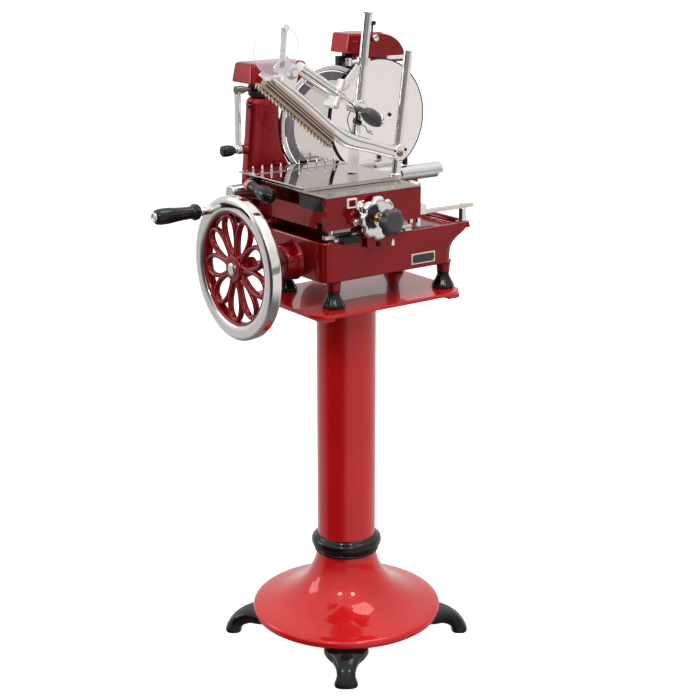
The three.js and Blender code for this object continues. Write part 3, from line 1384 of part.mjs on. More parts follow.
function pressPieces() {
  const top = GRIPPER.thickness / 2;
  const fromPivot = (dx, dz) => [PRESS_PIVOT.x + dx, PRESS_PIVOT.z + dz];
  const beam = uprightPlate(
    [
      onGripper(200, 15),
      onGripper(-2, 15),
      fromPivot(-139, 23),
      fromPivot(-75, 6),
      fromPivot(-35, -7),
      fromPivot(-8, -15),
      fromPivot(0, 16),
      fromPivot(-25, 17),
      fromPivot(-68, 33),
      fromPivot(-130, 53),
      onGripper(28, 40),
      onGripper(132, 41),
      onGripper(186, 36),
    ],
    PRESS.y0,
    PRESS.y1,
  );
  const web = uprightPlate(
    [onGripper(196, top + SEAT), onGripper(8, top + SEAT), onGripper(8, 17), onGripper(196, 17)],
    (PRESS.y0 + PRESS.y1) / 2 - 4,
    (PRESS.y0 + PRESS.y1) / 2 + 4,
  );
  const knuckle = bar(
    at(KNUCKLE.x, PRESS.y0, KNUCKLE.z),
    at(KNUCKLE.x, PRESS.y1, KNUCKLE.z),
    KNUCKLE.radius,
    20,
  );
  const knuckleFoot = uprightPlate(
    [onGripper(178, 30), onGripper(140, 30), [KNUCKLE.x + 14, KNUCKLE.z], [KNUCKLE.x - 14, KNUCKLE.z]],
    PRESS.y0,
    PRESS.y1,
  );
  const clamp = bar(
    at(PRESS_PIVOT.x, PRESS.y0, PRESS_PIVOT.z),
    at(PRESS_PIVOT.x, PRESS.y1, PRESS_PIVOT.z),
    17,
    20,
  );
  const rodHole = rodSlice(RIGHT_ROD, TABLE_TOP, RIGHT_ROD.top, ROD_RADIUS + SEAT);
  const swingRoom = rodRoom(RIGHT_ROD, PRESS_PIVOT, PRESS_RANGE);
  piece("press_arm", cut(join(beam, web, knuckle, knuckleFoot, clamp), rodHole, ...swingRoom), CHROME);

  const count = Math.floor(GRIPPER.length / TOOTH.pitch);
  const teeth = Array.from({ length: count }, (_, i) => {
    const start = i * TOOTH.pitch;
    const corners = [
      [start + 1, 1 - top],
      [start + TOOTH.pitch / 2, -top - TOOTH.height],
      [start + TOOTH.pitch - 1, 1 - top],
    ];
    return uprightPlate(corners.map(([along, across]) => onGripper(along, across)), GRIPPER.y0, GRIPPER.y1);
  });
  const sheet = uprightPlate(
    [onGripper(GRIPPER.length, top), onGripper(0, top), onGripper(0, -top), onGripper(GRIPPER.length, -top)],
    GRIPPER.y0,
    GRIPPER.y1,
  );
  piece("gripper_plate", join(sheet, ...teeth), STEEL);

  const bracketY1 = PRESS.y0 - SEAT;
  const bracketY0 = bracketY1 - 4;
  const fromKnuckle = (dx, dz) => [KNUCKLE.x + dx, KNUCKLE.z + dz];
  const bracket = join(
    uprightPlate(
      [fromKnuckle(-33, 8), fromKnuckle(-19, 8), fromKnuckle(-13, 84), fromKnuckle(-27, 86)],
      bracketY0,
      bracketY1,
    ),
    uprightPlate(
      [
        fromKnuckle(-43, 18),
        fromKnuckle(-45, 2),
        fromKnuckle(0, -11),
        fromKnuckle(2, 11),
        fromKnuckle(-19, 26),
      ],
      bracketY0,
      bracketY1,
    ),
    bar(at(KNUCKLE.x, bracketY0, KNUCKLE.z), at(KNUCKLE.x, bracketY1, KNUCKLE.z), 12, 24),
  );
  piece("guard_bracket", bracket, CHROME);

  const d = GUARD_DISC;
  const disc = turned(
    [[0, 0], [d.radius, 0], [d.radius, d.thickness], [0, d.thickness]],
    at(d.x, bracketY0 - SEAT - d.thickness, d.z),
    Y,
    36,
  );
  piece("guard_disc", disc, CLEAR);
}

// The room that a leaning rod needs in an arm which swings on it, every few degrees.
function rodRoom(rod, pivot, [low, high]) {
  const steps = 4;
  return Array.from({ length: steps + 1 }, (_, i) => {
    const angle = radians(low + ((high - low) * i) / steps);
    const slot = rodSlice(rod, TABLE_TOP, rod.top, ROD_RADIUS + 1.2, 10);
    slot.translate(-pivot.x, 0, -pivot.z).rotateY(-angle).translate(pivot.x, 0, pivot.z);
    return slot;
  });
}

function strutPieces() {
  const rod = TALL_ROD;
  const clampZ = CLAMP.z;
  const p = STRUT_PIVOT;
  const k = OVAL_KNOB;
  const pinEnd = p.y - 10;
  const clampBody = join(
    rodSlice(rod, clampZ - 2, clampZ - 2 + CLAMP.height, CLAMP.radius),
    block(p.x - 9, rodPoint(rod, p.z).x, p.y + 9, rod.y, p.z - 10, p.z + 4),
    bar(at(p.x, pinEnd, p.z), at(p.x, p.y + 12, p.z), STRUT_PIN_RADIUS, 16),
    bar(at(k.x, rod.y - k.bossEnd, clampZ), at(k.x, rod.y - 6, clampZ), k.boss, 20),
  );
  const clamp = cut(clampBody, rodSlice(rod, clampZ - 60, clampZ + 80, ROD_RADIUS + SEAT));
  piece("tall_clamp", clamp, CHROME);

  const eye = at(p.x, p.y, p.z);
  const along = (share) => eye.clone().lerp(STRUT_TIP, share);
  const strut = join(
    bar(at(p.x, p.y - 9, p.z), at(p.x, p.y + 9 - SEAT, p.z), 10, 16),
    bar(along(0.03), along(0.4), 6, 12),
    bar(along(0.27), along(0.41), 15, 4),
    bar(along(0.36), along(1), STRUT_RADIUS, 18),
  );
  const eyeBore = bar(at(p.x, p.y - 20, p.z), at(p.x, p.y + 12, p.z), STRUT_PIN_RADIUS + RUNNING, 16);
  piece("spring_strut", cut(strut, eyeBore), CHROME);

  const egg = new THREE.SphereGeometry(1, 14, 8);
  egg.scale(k.length, k.radius, k.radius).rotateY(radians(k.tilt)).translate(
    k.x,
    rod.y - k.reach,
    clampZ - 2,
  );
  const stem = bar(
    at(k.x, rod.y - k.reach + 5, clampZ),
    at(k.x, rod.y - k.bossEnd - SEAT, clampZ),
    k.stem,
    20,
  );
  piece("oval_knob", join(closed(egg), stem), BLACK_PLASTIC);

  const linkZ = LINK.z;
  const top = rodPoint(rod, linkZ);
  const foot = at(LINK.footX, rod.y - 6, LINK.footZ);
  const side = top.clone().lerp(foot, 0.12);
  const link = join(
    rodSlice(rod, linkZ - 8, linkZ + 8, 14),
    flatBar(top, top.clone().lerp(foot, 0.62), rod.y - 3, 16, 7),
    bar(top.clone().lerp(foot, 0.55).setY(rod.y), foot.clone().setY(rod.y), 7.5, 20),
    bar(at(side.x - 4, rod.y, linkZ), at(side.x - 34, rod.y, linkZ), 4, 14),
    bar(at(side.x - 28, rod.y, linkZ - 6), at(side.x - 28, rod.y, linkZ + 9), 6.5, 18),
  );
  piece("lock_link", cut(link, rodSlice(rod, linkZ - 60, linkZ + 60, ROD_RADIUS + SEAT)), CHROME);
}

// A flat bar between two points of the XZ plane, with its thickness along Y.
function flatBar(start, end, y, width, thickness) {
  const along = end.clone().sub(start).setY(0).normalize();
  const n = at(-along.z, 0, along.x).multiplyScalar(width / 2);
  const corners = [start.clone().add(n), start.clone().sub(n), end.clone().sub(n), end.clone().add(n)];
  return uprightPlate(corners.map((p) => [p.x, p.z]), y, y + thickness);
}

standPieces();
basePieces();
railPieces();
flywheelPieces();
drivePieces();
bladePieces();
headPieces();
sharpenerPieces();
carriagePieces();
feedPieces();
tablePieces();
pressPieces();
strutPieces();

const reach = new THREE.Box3().setFromObject(slicer);
slicer.position.set(-(reach.min.x + reach.max.x) / 2, -(reach.min.y + reach.max.y) / 2, -reach.min.z);

export default slicer;
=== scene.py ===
import math

import bmesh
import bpy
import numpy as np
from mathutils import Matrix, Vector


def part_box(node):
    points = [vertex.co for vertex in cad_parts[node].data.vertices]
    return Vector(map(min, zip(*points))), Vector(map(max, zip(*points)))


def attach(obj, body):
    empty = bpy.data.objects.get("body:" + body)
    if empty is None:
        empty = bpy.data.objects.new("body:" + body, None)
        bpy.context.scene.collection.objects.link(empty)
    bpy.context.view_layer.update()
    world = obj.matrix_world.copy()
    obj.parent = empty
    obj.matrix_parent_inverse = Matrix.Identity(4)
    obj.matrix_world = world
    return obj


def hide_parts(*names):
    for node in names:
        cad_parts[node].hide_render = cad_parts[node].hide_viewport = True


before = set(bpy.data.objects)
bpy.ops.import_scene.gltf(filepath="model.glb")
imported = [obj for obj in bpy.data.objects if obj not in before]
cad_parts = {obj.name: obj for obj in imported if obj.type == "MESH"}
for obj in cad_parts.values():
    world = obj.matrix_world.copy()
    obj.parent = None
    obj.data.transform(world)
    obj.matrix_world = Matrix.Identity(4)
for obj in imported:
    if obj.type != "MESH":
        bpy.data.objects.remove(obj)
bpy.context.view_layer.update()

# All places below are millimetres in the machine's own layout: the stand's axis is x = y = 0,
# the floor is z = 0, and the operator stands on the -Y side.
MM = 0.001
column_low, column_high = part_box("stand_column")
AXIS = np.array([(column_low.x + column_high.x) / 2, (column_low.y + column_high.y) / 2, 0.0])

X = np.array([1.0, 0.0, 0.0])
Y = np.array([0.0, 1.0, 0.0])
Z = np.array([0.0, 0.0, 1.0])
SEAT = 0.3

# Stand
COLUMN_RADIUS = 63
COLUMN_ENDS = (185.3, 761.7)
PLATE_TOP = 780
PLATE_BOTTOM = 772
PLATE = (-160, 222, -130, 130)
PLATE_CORNER = 38 * 1.35
BELL_RADIUS = 207.5
BELL_UNDERSIDE = 57
FOOT_TURN = -36.15
FOOT_REACH = 272

# Machine frame
BASE = (-130, 204, -106, 135)
BASE_BOTTOM = 838
BASE_TOP = 920
BASE_TIP = 49
DECK = 908
DRIVE = (6.6, 869)
FEET = {f"{depth}_{side}": (x, y) for depth, y in [("front", -78), ("back", 95)]
        for side, x in [("left", -88), ("right", 198)]}
BLADE = np.array([105.0, 203.0, 1100.0])
BLADE_RADIUS = 115
BLADE_BEVEL = 19
GUARD_INNER = 116.5
GUARD_OUTER = 128
COVER_DISC = np.array([231.0, 198.0, 1106.0])
COVER_RADIUS = 130
GUIDE_BAR = (150, 990)
GUIDE_RADIUS = 13.5
GUIDE_COVER = (150, 982.4)
GUIDE_COVER_RADIUS = 18.6
RAIL_Y = -90
RAIL_ENDS = (-102, 238)
NECK_FRONT = 205
NECK_BACK = 248
LEVER_Y = 226.5
LEVER_PIN = 1063
LEVER_KNEE = 1188.6
HEAD = (-88, 60, 214, 298)
HEAD_BOTTOM = 1197.6
HOOD_FRONT = 215
HOOD_BACK = 300
HOOD_TOP = 1289
HOOD_WALL = 3

# Flywheel
WHEEL_FACE = -276
WHEEL_RADIUS = 145
WHEEL_WIDTH = 27
PETALS = 9
HANDLE_PIN = (83.89, 975.39)

# Carriage, table and rods
BOX = (-132, 104, -116, 124)
SCREW = (-18, 963)
INDEX_WHEEL_BACK = -117
FEED_KNOB_BACK = -164
TABLE = (-140, 106, -52, 194)
TABLE_TOP = 1025
ROD_LEAN = 0.118
ROD_RADIUS = 9.2
ROD_FOOT = 1025.4
RIGHT_ROD = (96, -42)
RIGHT_ROD_TOP = 1277
TALL_ROD = (40, 32)
TALL_ROD_TOP = 1350
CLAMP_HEIGHT = 1150

# Meat press. The gripper is a place (x, z) and a slope in degrees.
GRIPPER = (-71, 1102, 141.4)
PRESS_FRONT = -53
PRESS_MIDDLE = -42
PRESS_BACK = -32
PRESS_HINGE = (101, 1072)
GUARD_HINGE = (-165, 1253)
GUARD_LAYER = (-57.3, -53.3)


def unit(v):
    v = np.asarray(v, float)
    return v / np.linalg.norm(v)


# Shapes. A shell is (points, faces), with its points in millimetres.

def grid_faces(rows, columns, loop=False):
    """Four-sided faces between neighbours of a grid whose columns close, and whose rows do if loop."""
    i = np.arange(rows if loop else rows - 1)[:, None]
    j = np.arange(columns)[None, :]
    after_i = (i + 1) % rows
    after_j = (j + 1) % columns
    here, there = i * columns, after_i * columns
    return np.stack([here + j, here + after_j, there + after_j, there + j], -1).reshape(-1, 4).tolist()


def cleaned(shell, width=0.0, segments=2, flat=0.0):
    """Merges equal points, turns faces outwards and rounds edges sharper than 30 degrees by width."""
    points, faces = shell
    mesh = bpy.data.meshes.new("shell")
    mesh.from_pydata(np.asarray(points).tolist(), [], faces)
    bm = bmesh.new()
    bm.from_mesh(mesh)
    bmesh.ops.remove_doubles(bm, verts=bm.verts, dist=1e-3)
    if flat:
        bmesh.ops.dissolve_limit(bm, angle_limit=math.radians(flat), verts=bm.verts, edges=bm.edges)
    bmesh.ops.recalc_face_normals(bm, faces=bm.faces)
    if width:
        sharp = [e for e in bm.edges if e.is_manifold and e.calc_face_angle(0) > math.radians(30)]
        bmesh.ops.bevel(
            bm, geom=sharp, offset=width, offset_type="OFFSET", segments=segments,
            profile=0.5, affect="EDGES", clamp_overlap=True,
        )
    bm.verts.index_update()
    points = np.array([v.co for v in bm.verts], float).reshape(-1, 3)
    faces = [[v.index for v in f.verts] for f in bm.faces]
    bm.free()
    bpy.data.meshes.remove(mesh)
    return points, faces


def loft(rings, loop=False, width=0.0, segments=2):
    """Rings of equally many points joined one after another, with a face over each end."""
    rings = np.asarray(rings, float)
    rows, columns = rings.shape[:2]
    faces = grid_faces(rows, columns, loop)
    if not loop:
        faces.append(list(range(columns)))
        faces.append(list(range((rows - 1) * columns, rows * columns)))
    return cleaned((rings.reshape(-1, 3), faces), width, segments)


def turned(profile, start, axis, sides, loop=False, lobes=None):
    """Carries (radius, distance) points round an axis: start + distance along + radius across it.
    lobes is a function of the angle and the profile's points that scales the radius."""
    profile = np.asarray(profile, float)
    axis = unit(axis)
    across = unit(np.cross(axis, Z if abs(axis[2]) < 0.9 else X))
    up = np.cross(axis, across)
    angle = np.arange(sides) * (2 * np.pi / sides)
    radial = np.cos(angle)[:, None] * across + np.sin(angle)[:, None] * up
    radius = profile[:, 0, None] * (1 if lobes is None else lobes(angle[None, :], profile))
    radius = np.broadcast_to(radius, (len(profile), sides))
    points = np.asarray(start, float) + profile[:, 1, None, None] * axis + radius[:, :, None] * radial
    return cleaned((points.reshape(-1, 3), grid_faces(len(profile), sides, loop)))


def lathe(points, reach, start, axis, sides=48, steps=4, loop=False, lobes=None):
    """A turned shape whose profile has its corners rounded by reach."""
    return turned(eased(points, reach, steps, loop), start, axis, sides, loop, lobes)


def grooves(count, depth, share, power=2):
    """Grooves round a turned shape, as its lobes. share says how much of them each profile point has."""
    def scale(angle, points):
        return 1 - depth * share(points[:, 0, None], points[:, 1, None]) * (
            0.5 - 0.5 * np.cos(count * angle)) ** power
    return scale


def towards_rim(radius, _):
    return (radius / radius.max()) ** 3


def eased(points, reach, steps=4, loop=False):
    """Rounds corners: each becomes a parabola from reach before it to reach after it."""
    p = np.asarray(points, float)

    def towards(q):
        side = q - p
        length = np.maximum(np.linalg.norm(side, axis=1, keepdims=True), 1e-6)
        return (p + side * np.minimum(reach / length, 0.46))[:, None]

    t = np.linspace(0, 1, steps + 1)[None, :, None]
    before = towards(np.roll(p, 1, 0))
    after = towards(np.roll(p, -1, 0))
    curve = (1 - t) ** 2 * before + 2 * t * (1 - t) * p[:, None] + t ** 2 * after
    if loop:
        return curve.reshape(-1, p.shape[1])
    return np.vstack([p[:1], curve[1:-1].reshape(-1, p.shape[1]), p[-1:]])


def smooth_line(points, per):
    """A Catmull-Rom curve through the points, with per steps between neighbours."""
    p = np.asarray(points, float)
    p = np.vstack([2 * p[:1] - p[1:2], p, 2 * p[-1:] - p[-2:-1]])
    t = (np.arange(per) / per)[None, :, None]
    a, b, c, d = (p[k:len(p) - 3 + k, None] for k in range(4))
    curve = 0.5 * (
        2 * b + (c - a) * t + (2 * a - 5 * b + 4 * c - d) * t ** 2 + (3 * b - a - 3 * c + d) * t ** 3
    )
    return np.vstack([curve.reshape(-1, p.shape[1]), p[-2:-1]])


PLANES = {"xz": (0, 2, 1), "xy": (0, 1, 2), "yz": (1, 2, 0)}


def slab(outline, low, high, plane, width, segments=2):
    """A flat outline given a thickness, from low to high along the third direction."""
    outline = np.asarray(outline, float)
    a, b, c = PLANES[plane]
    rings = np.zeros((2, len(outline), 3))
    rings[..., a] = outline[:, 0]
    rings[..., b] = outline[:, 1]
    rings[0, :, c] = low
    rings[1, :, c] = high
    return loft(rings, width=width, segments=segments)


def rectangle(x0, x1, y0, y1, corner=0.0, steps=8):
    corners = [(x1, y0), (x1, y1), (x0, y1), (x0, y0)]
    return eased(corners, corner, steps, loop=True) if corner else np.array(corners, float)


def brick(x0, x1, y0, y1, z0, z1, width=0.6, segments=2):
    return slab(rectangle(x0, x1, y0, y1), z0, z1, "xy", width, segments)


def rod(start, end, radius, sides=48, edge=0.6):
    """A round bar with eased ends."""
    start = np.asarray(start, float)
    length = np.linalg.norm(np.asarray(end, float) - start)
    profile = eased([(0, 0), (radius, 0), (radius, length), (0, length)], edge, 3)
    return turned(profile, start, np.asarray(end, float) - start, sides)


def swept(path, section, up, loop=False):
    """Carries a section of (side, up) points along a path, with its up direction held."""
    path = np.asarray(path, float)
    if loop:
        along = np.roll(path, -1, 0) - np.roll(path, 1, 0)
    else:
        along = np.gradient(path, axis=0)
    along /= np.linalg.norm(along, axis=1, keepdims=True)
    side = np.cross(along, np.asarray(up, float))
    side /= np.linalg.norm(side, axis=1, keepdims=True)
    over = np.cross(side, along)
    section = np.asarray(section, float)
    rings = path[:, None] + section[None, :, :1] * side[:, None] + section[None, :, 1:] * over[:, None]
    return loft(rings, loop)


def oval(half_width, half_height, count, power=1.0):
    """A superellipse: power 1 is an ellipse, below 1 nearer to a rectangle."""
    angle = np.arange(count) * (2 * np.pi / count)
    c, s = np.cos(angle), np.sin(angle)
    across = half_width * np.sign(c) * np.abs(c) ** power
    return np.stack([across, half_height * np.sign(s) * np.abs(s) ** power], 1)


def of_node(node, width):
    """A merged copy of a CAD node's own solid, with its edges rounded."""
    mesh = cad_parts[node].data
    points = np.zeros(len(mesh.vertices) * 3)
    mesh.vertices.foreach_get("co", points)
    points = (points.reshape(-1, 3) - AXIS) / MM
    return cleaned((points, [list(p.vertices) for p in mesh.polygons]), width, flat=0.4)


def rotated(shell, degrees, axis, centre=(0, 0, 0)):
    turn = np.array(Matrix.Rotation(math.radians(degrees), 3, Vector(axis)))
    points, faces = shell
    return (points - centre) @ turn.T + centre, faces


def piece(name, body, finish, shells, *instead, slot=None, sharp=38):
    """One object of the scene made of closed shells, riding on a body, instead of the named nodes.
    A slot is looked up from its finish unless one is given, but it is not put on the object."""
    shells = shells if isinstance(shells, list) else [shells]
    starts = np.cumsum([0] + [len(points) for points, _ in shells])
    points = np.vstack([points for points, _ in shells])
    faces = [[int(start + i) for i in face] for start, (_, each) in zip(starts, shells) for face in each]
    mesh = bpy.data.meshes.new(name)
    mesh.from_pydata((AXIS + MM * points).tolist(), [], faces)
    mesh.shade_smooth()
    mesh.set_sharp_from_angle(angle=math.radians(sharp))
    mesh.materials.append(finish)
    obj = bpy.data.objects.new(name, mesh)
    bpy.context.scene.collection.objects.link(obj)
    weighted = obj.modifiers.new("flat faces stay flat", "WEIGHTED_NORMAL")
    weighted.keep_sharp = True
    slot = slot or SLOT_OF[finish.name]
    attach(obj, body)
    if instead:
        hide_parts(*instead)


# Finishes

def srgb(colour, share=1.0, more=0.0):
    """The linear value of a colour given in 0 to 255, scaled by share and raised by more."""
    c = np.array(colour, float) / 255
    linear = np.where(c <= 0.04045, c / 12.92, ((c + 0.055) / 1.055) ** 2.4)
    return (*np.minimum(linear * share + more, 1.0).tolist(), 1.0)


class Wire:
    """A socket of a finish. Sums and products on it add Math nodes."""

    def __init__(self, finish, socket):
        self.finish = finish
        self.socket = socket

    def math(self, operation, *values):
        return self.finish.add("ShaderNodeMath", {"operation": operation}, dict(enumerate(values)))

    def __add__(self, other):
        return self.math("ADD", self, other)

    def __rsub__(self, other):
        return self.math("SUBTRACT", other, self)

    def __mul__(self, other):
        return self.math("MULTIPLY", self, other)


class Nodes:
    """A tree of nodes. One method adds a node of any type, sets it up and wires its sockets."""

    def __init__(self, tree):
        self.tree = tree

    def add(self, kind, settings, inputs, output=0):
        node = self.tree.nodes.new(kind)
        for key, value in settings.items():
            setattr(node, key, value)
        for key, value in inputs.items():
            self.feed(node.inputs[key], value)
        return Wire(self, node.outputs[output])

    def feed(self, socket, value):
        if isinstance(value, Wire):
            self.tree.links.new(value.socket, socket)
        else:
            socket.default_value = value

    def ramp(self, value, low, high):
        """0 below low, 1 above high, smooth between."""
        return self.add(
            "ShaderNodeMapRange", {"interpolation_type": "SMOOTHSTEP"},
            {"Value": value, "From Min": low, "From Max": high},
        )

    def mix(self, factor, a, b):
        return self.add("ShaderNodeMix", {"data_type": "RGBA"}, {0: factor, 6: a, 7: b}, 2)


class Finish(Nodes):
    """A material with a Principled shader."""

    def __init__(self, name, settings):
        self.material = bpy.data.materials.new(name)
        self.material.use_nodes = True
        super().__init__(self.material.node_tree)
        self.shader = self.tree.nodes["Principled BSDF"]
        for key, value in settings.items():
            self.shader.inputs[key].default_value = value

    def set(self, socket, value):
        self.feed(self.shader.inputs[socket], value)

    def place(self):
        return self.add("ShaderNodeTexCoord", {}, {}, "Object")

    def noise(self, scale, detail, roughness=0.5, centre=None):
        """Noise from 0 to 1 about, with its own scale along X, Y and Z, per metre."""
        scale = scale if isinstance(scale, tuple) else (scale, scale, scale)
        where = self.add("ShaderNodeMapping", {}, {"Vector": centre or self.place(), "Scale": scale})
        return self.add("ShaderNodeTexNoise", {}, {
            "Vector": where, "Scale": 1.0, "Detail": detail, "Roughness": roughness,
        })

    def bump(self, height, distance):
        bump = {"Height": height, "Distance": distance, "Strength": 1.0}
        self.set("Normal", self.add("ShaderNodeBump", {}, bump))

    def ring_distance(self, centre, axis):
        """How far a point lies from the axis through centre, in metres."""
        spread = [0.0 if abs(a) > 0.5 else 1.0 for a in axis]
        where = self.add("ShaderNodeMapping", {"vector_type": "POINT"}, {
            "Vector": self.place(),
            "Location": tuple(-s * c for s, c in zip(spread, centre)),
            "Scale": tuple(spread),
        })
        return self.add("ShaderNodeVectorMath", {"operation": "LENGTH"}, {0: where}, "Value")


def enamel(name, colour, deep, coat, flake):
    """Sprayed enamel: a slow drift of colour, an orange-peel bump, wiped patches and dust specks.
    flake is the share of the light that its metallic ground sends back."""
    f = Finish(name, {
        "Metallic": flake, "Specular IOR Level": 0.12, "Coat IOR": 1.5, "Coat Roughness": 0.03,
    })
    drift = f.noise(7.0, 3.0)
    specks = f.ramp(f.noise(900.0, 2.0), 0.70, 0.76)
    base = f.mix(f.ramp(drift, 0.35, 0.7), srgb(colour), srgb(deep))
    f.set("Base Color", f.mix(specks * 0.12, base, srgb((190, 130, 126))))
    f.set("Roughness", f.noise(45.0, 4.0) * 0.14 + 0.25 + specks * 0.2)
    f.set("Coat Weight", coat - f.ramp(f.noise(60.0, 4.0), 0.55, 0.8) * 0.25)
    f.bump(f.noise(420.0, 1.0), 0.00001)
    return f.material


def polished(name, colour, roughness, smear, lines=(1800.0, 1800.0, 120.0), depth=0.000004):
    """Polished metal: wiping smears in the roughness and hair lines along one direction."""
    f = Finish(name, {"Metallic": 1.0})
    wipe = f.noise((26.0, 26.0, 60.0), 4.0, 0.6)
    f.set("Base Color", f.mix(f.ramp(wipe, 0.3, 0.75), srgb(colour), srgb(colour, 0.9)))
    hair = f.noise(lines, 2.0)
    f.set("Roughness", f.ramp(wipe, 0.42, 0.8) * smear + hair * 0.05 + (roughness - 0.025))
    f.bump(hair, depth)
    return f.material


def spun(name, colour, roughness, centre, axis, depth=0.000006, dark=0.82):
    """A face turned on a lathe: fine rings round its axis in the colour, roughness and bump."""
    f = Finish(name, {"Metallic": 1.0})
    reach = f.ring_distance((AXIS + MM * np.asarray(centre)).tolist(), axis)
    vector = f.add("ShaderNodeCombineXYZ", {}, {0: reach})
    rings = f.noise((2600.0, 1.0, 1.0), 3.0, 0.7, centre=vector)
    wipe = f.noise(22.0, 4.0, 0.6)
    f.set("Base Color", f.mix(f.ramp(rings, 0.3, 0.7), srgb(colour), srgb(colour, dark)))
    f.set("Roughness", rings * 0.1 + f.ramp(wipe, 0.4, 0.8) * 0.06 + (roughness - 0.05))
    f.bump(rings, depth)
    return f.material


def cast(name, colour, roughness, depth=0.00012, gloss=0.4, grain=320.0, level=0.5):
    """A cast or moulded surface: a pebbled bump, worn lighter patches."""
    f = Finish(name, {"Metallic": 0.0, "Coat Roughness": 0.08, "Specular IOR Level": level})
    worn = f.ramp(f.noise(38.0, 5.0, 0.65), 0.5, 0.78)
    f.set("Base Color", f.mix(worn * 0.6, srgb(colour), srgb(colour, 1.35, 0.004)))
    f.set("Roughness", f.noise(70.0, 4.0) * 0.18 + (roughness - 0.09))
    f.set("Coat Weight", gloss - worn * gloss * 0.5)
    f.bump(f.noise(grain, 3.0), depth)
    return f.material


def clear(name, opacity):
    """Clear plastic: see-through, with faint wiping marks."""
    f = Finish(name, {"IOR": 1.49})
    haze = f.ramp(f.noise(16.0, 2.0), 0.5, 0.75)
    f.set("Base Color", f.mix(haze, srgb((228, 225, 238)), srgb((200, 190, 222))))
    f.set("Alpha", haze * 0.22 + (opacity - 0.05))
    f.set("Roughness", f.noise(90.0, 3.0) * 0.06 + 0.03)
    return f.material


def along_x(across, along):
    """Scales of hair lines that run along X."""
    return (along, across, across)


RED = enamel("machine_enamel", (140, 3, 13), (122, 2, 9), coat=0.5, flake=0.55)
STAND_RED = enamel("stand_enamel", (200, 19, 22), (188, 13, 17), coat=0.75, flake=0.15)
BLACK = cast("black_enamel", (10, 10, 11), 0.28, 0.00005, 0.45, level=0.12)
PLASTIC = cast("black_plastic", (12, 12, 15), 0.24, 0.00001, 0.5, 900.0, 0.15)
SATIN_PLASTIC = cast("satin_plastic", (52, 48, 56), 0.38, 0.00004, 0.25, 1100.0)
PINK_FERRULE = cast("ferrule_enamel", (196, 110, 102), 0.35, 0.00003, grain=700.0)
RUBBER = cast("belt_rubber", (38, 38, 38), 0.75, gloss=0.0)
CHROME = polished("chrome", (232, 230, 228), 0.05, 0.05)
DARK_STEEL = polished("dark_steel", (122, 112, 106), 0.2, 0.16)
STEEL = polished("brushed_steel", (186, 180, 176), 0.22, 0.12, along_x(2200.0, 120.0), 0.00001)
PALE_STEEL = polished("pale_steel", (226, 218, 208), 0.26, 0.1, along_x(2000.0, 100.0))
MIRROR = polished("mirror_steel", (208, 202, 200), 0.04, 0.05, along_x(1500.0, 90.0), 0.000002)
ALUMINIUM = polished("aluminium", (214, 213, 214), 0.2, 0.12, along_x(1400.0, 160.0), 0.00001)
BRIGHT_ALUMINIUM = polished("polished_aluminium", (226, 224, 222), 0.1, 0.1)
TOOTH_STEEL = polished("tooth_steel", (176, 158, 142), 0.3, 0.2, along_x(300.0, 300.0))
TAN_STEEL = polished("tan_steel", (204, 184, 168), 0.32, 0.12, along_x(2000.0, 120.0))
BRASS = polished("brass", (186, 150, 92), 0.2, 0.12)
BROWN_BRASS = polished("aged_brass", (150, 112, 84), 0.28, 0.2)
NYLON = cast("nylon", (232, 230, 224), 0.45, 0.00002, 0.2, 1200.0)
WHITE_PAINT = cast("plate_border", (226, 222, 214), 0.4, 0.00001, grain=1500.0)
PLATE_BLACK = cast("plate_black", (20, 20, 21), 0.35, 0.00001, grain=1500.0)
CLEAR = clear("clear_plastic", 0.3)
# The rim's finish is more opaque than the disc's: painted sheen standing in for the brighter reflection
# along the disc's edge.
CLEAR_EDGE_SHEEN = clear("clear_plastic_edge_sheen", 0.42)
SPUN_BLADE = spun("blade_face", (226, 220, 216), 0.1, BLADE, Y)
BLADE_EDGE = spun("blade_bevel", (150, 146, 156), 0.14, BLADE, Y, depth=0.00001, dark=0.86)
SPUN_DISC = spun("cover_face", (246, 239, 238), 0.1, COVER_DISC, Y, depth=0.000002, dark=0.95)

SLOTS = {
    "stand_red": [STAND_RED],
    "machine_red": [RED, PINK_FERRULE],
    "black_enamel": [BLACK, PLATE_BLACK],
    "black_plastic": [PLASTIC, SATIN_PLASTIC],
    "rubber": [RUBBER],
    "nylon": [NYLON],
    "clear_plastic": [CLEAR, CLEAR_EDGE_SHEEN],
    "aluminium": [ALUMINIUM, WHITE_PAINT],
    "polished_aluminium": [BRIGHT_ALUMINIUM],
    "chrome": [CHROME],
    "steel": [STEEL, PALE_STEEL, DARK_STEEL, TAN_STEEL, TOOTH_STEEL],
    "mirror_steel": [MIRROR, SPUN_BLADE, BLADE_EDGE, SPUN_DISC],
    "brass": [BRASS, BROWN_BRASS],
}
SLOT_OF = {finish.name: slot for slot, finishes in SLOTS.items() for finish in finishes}


# Stand

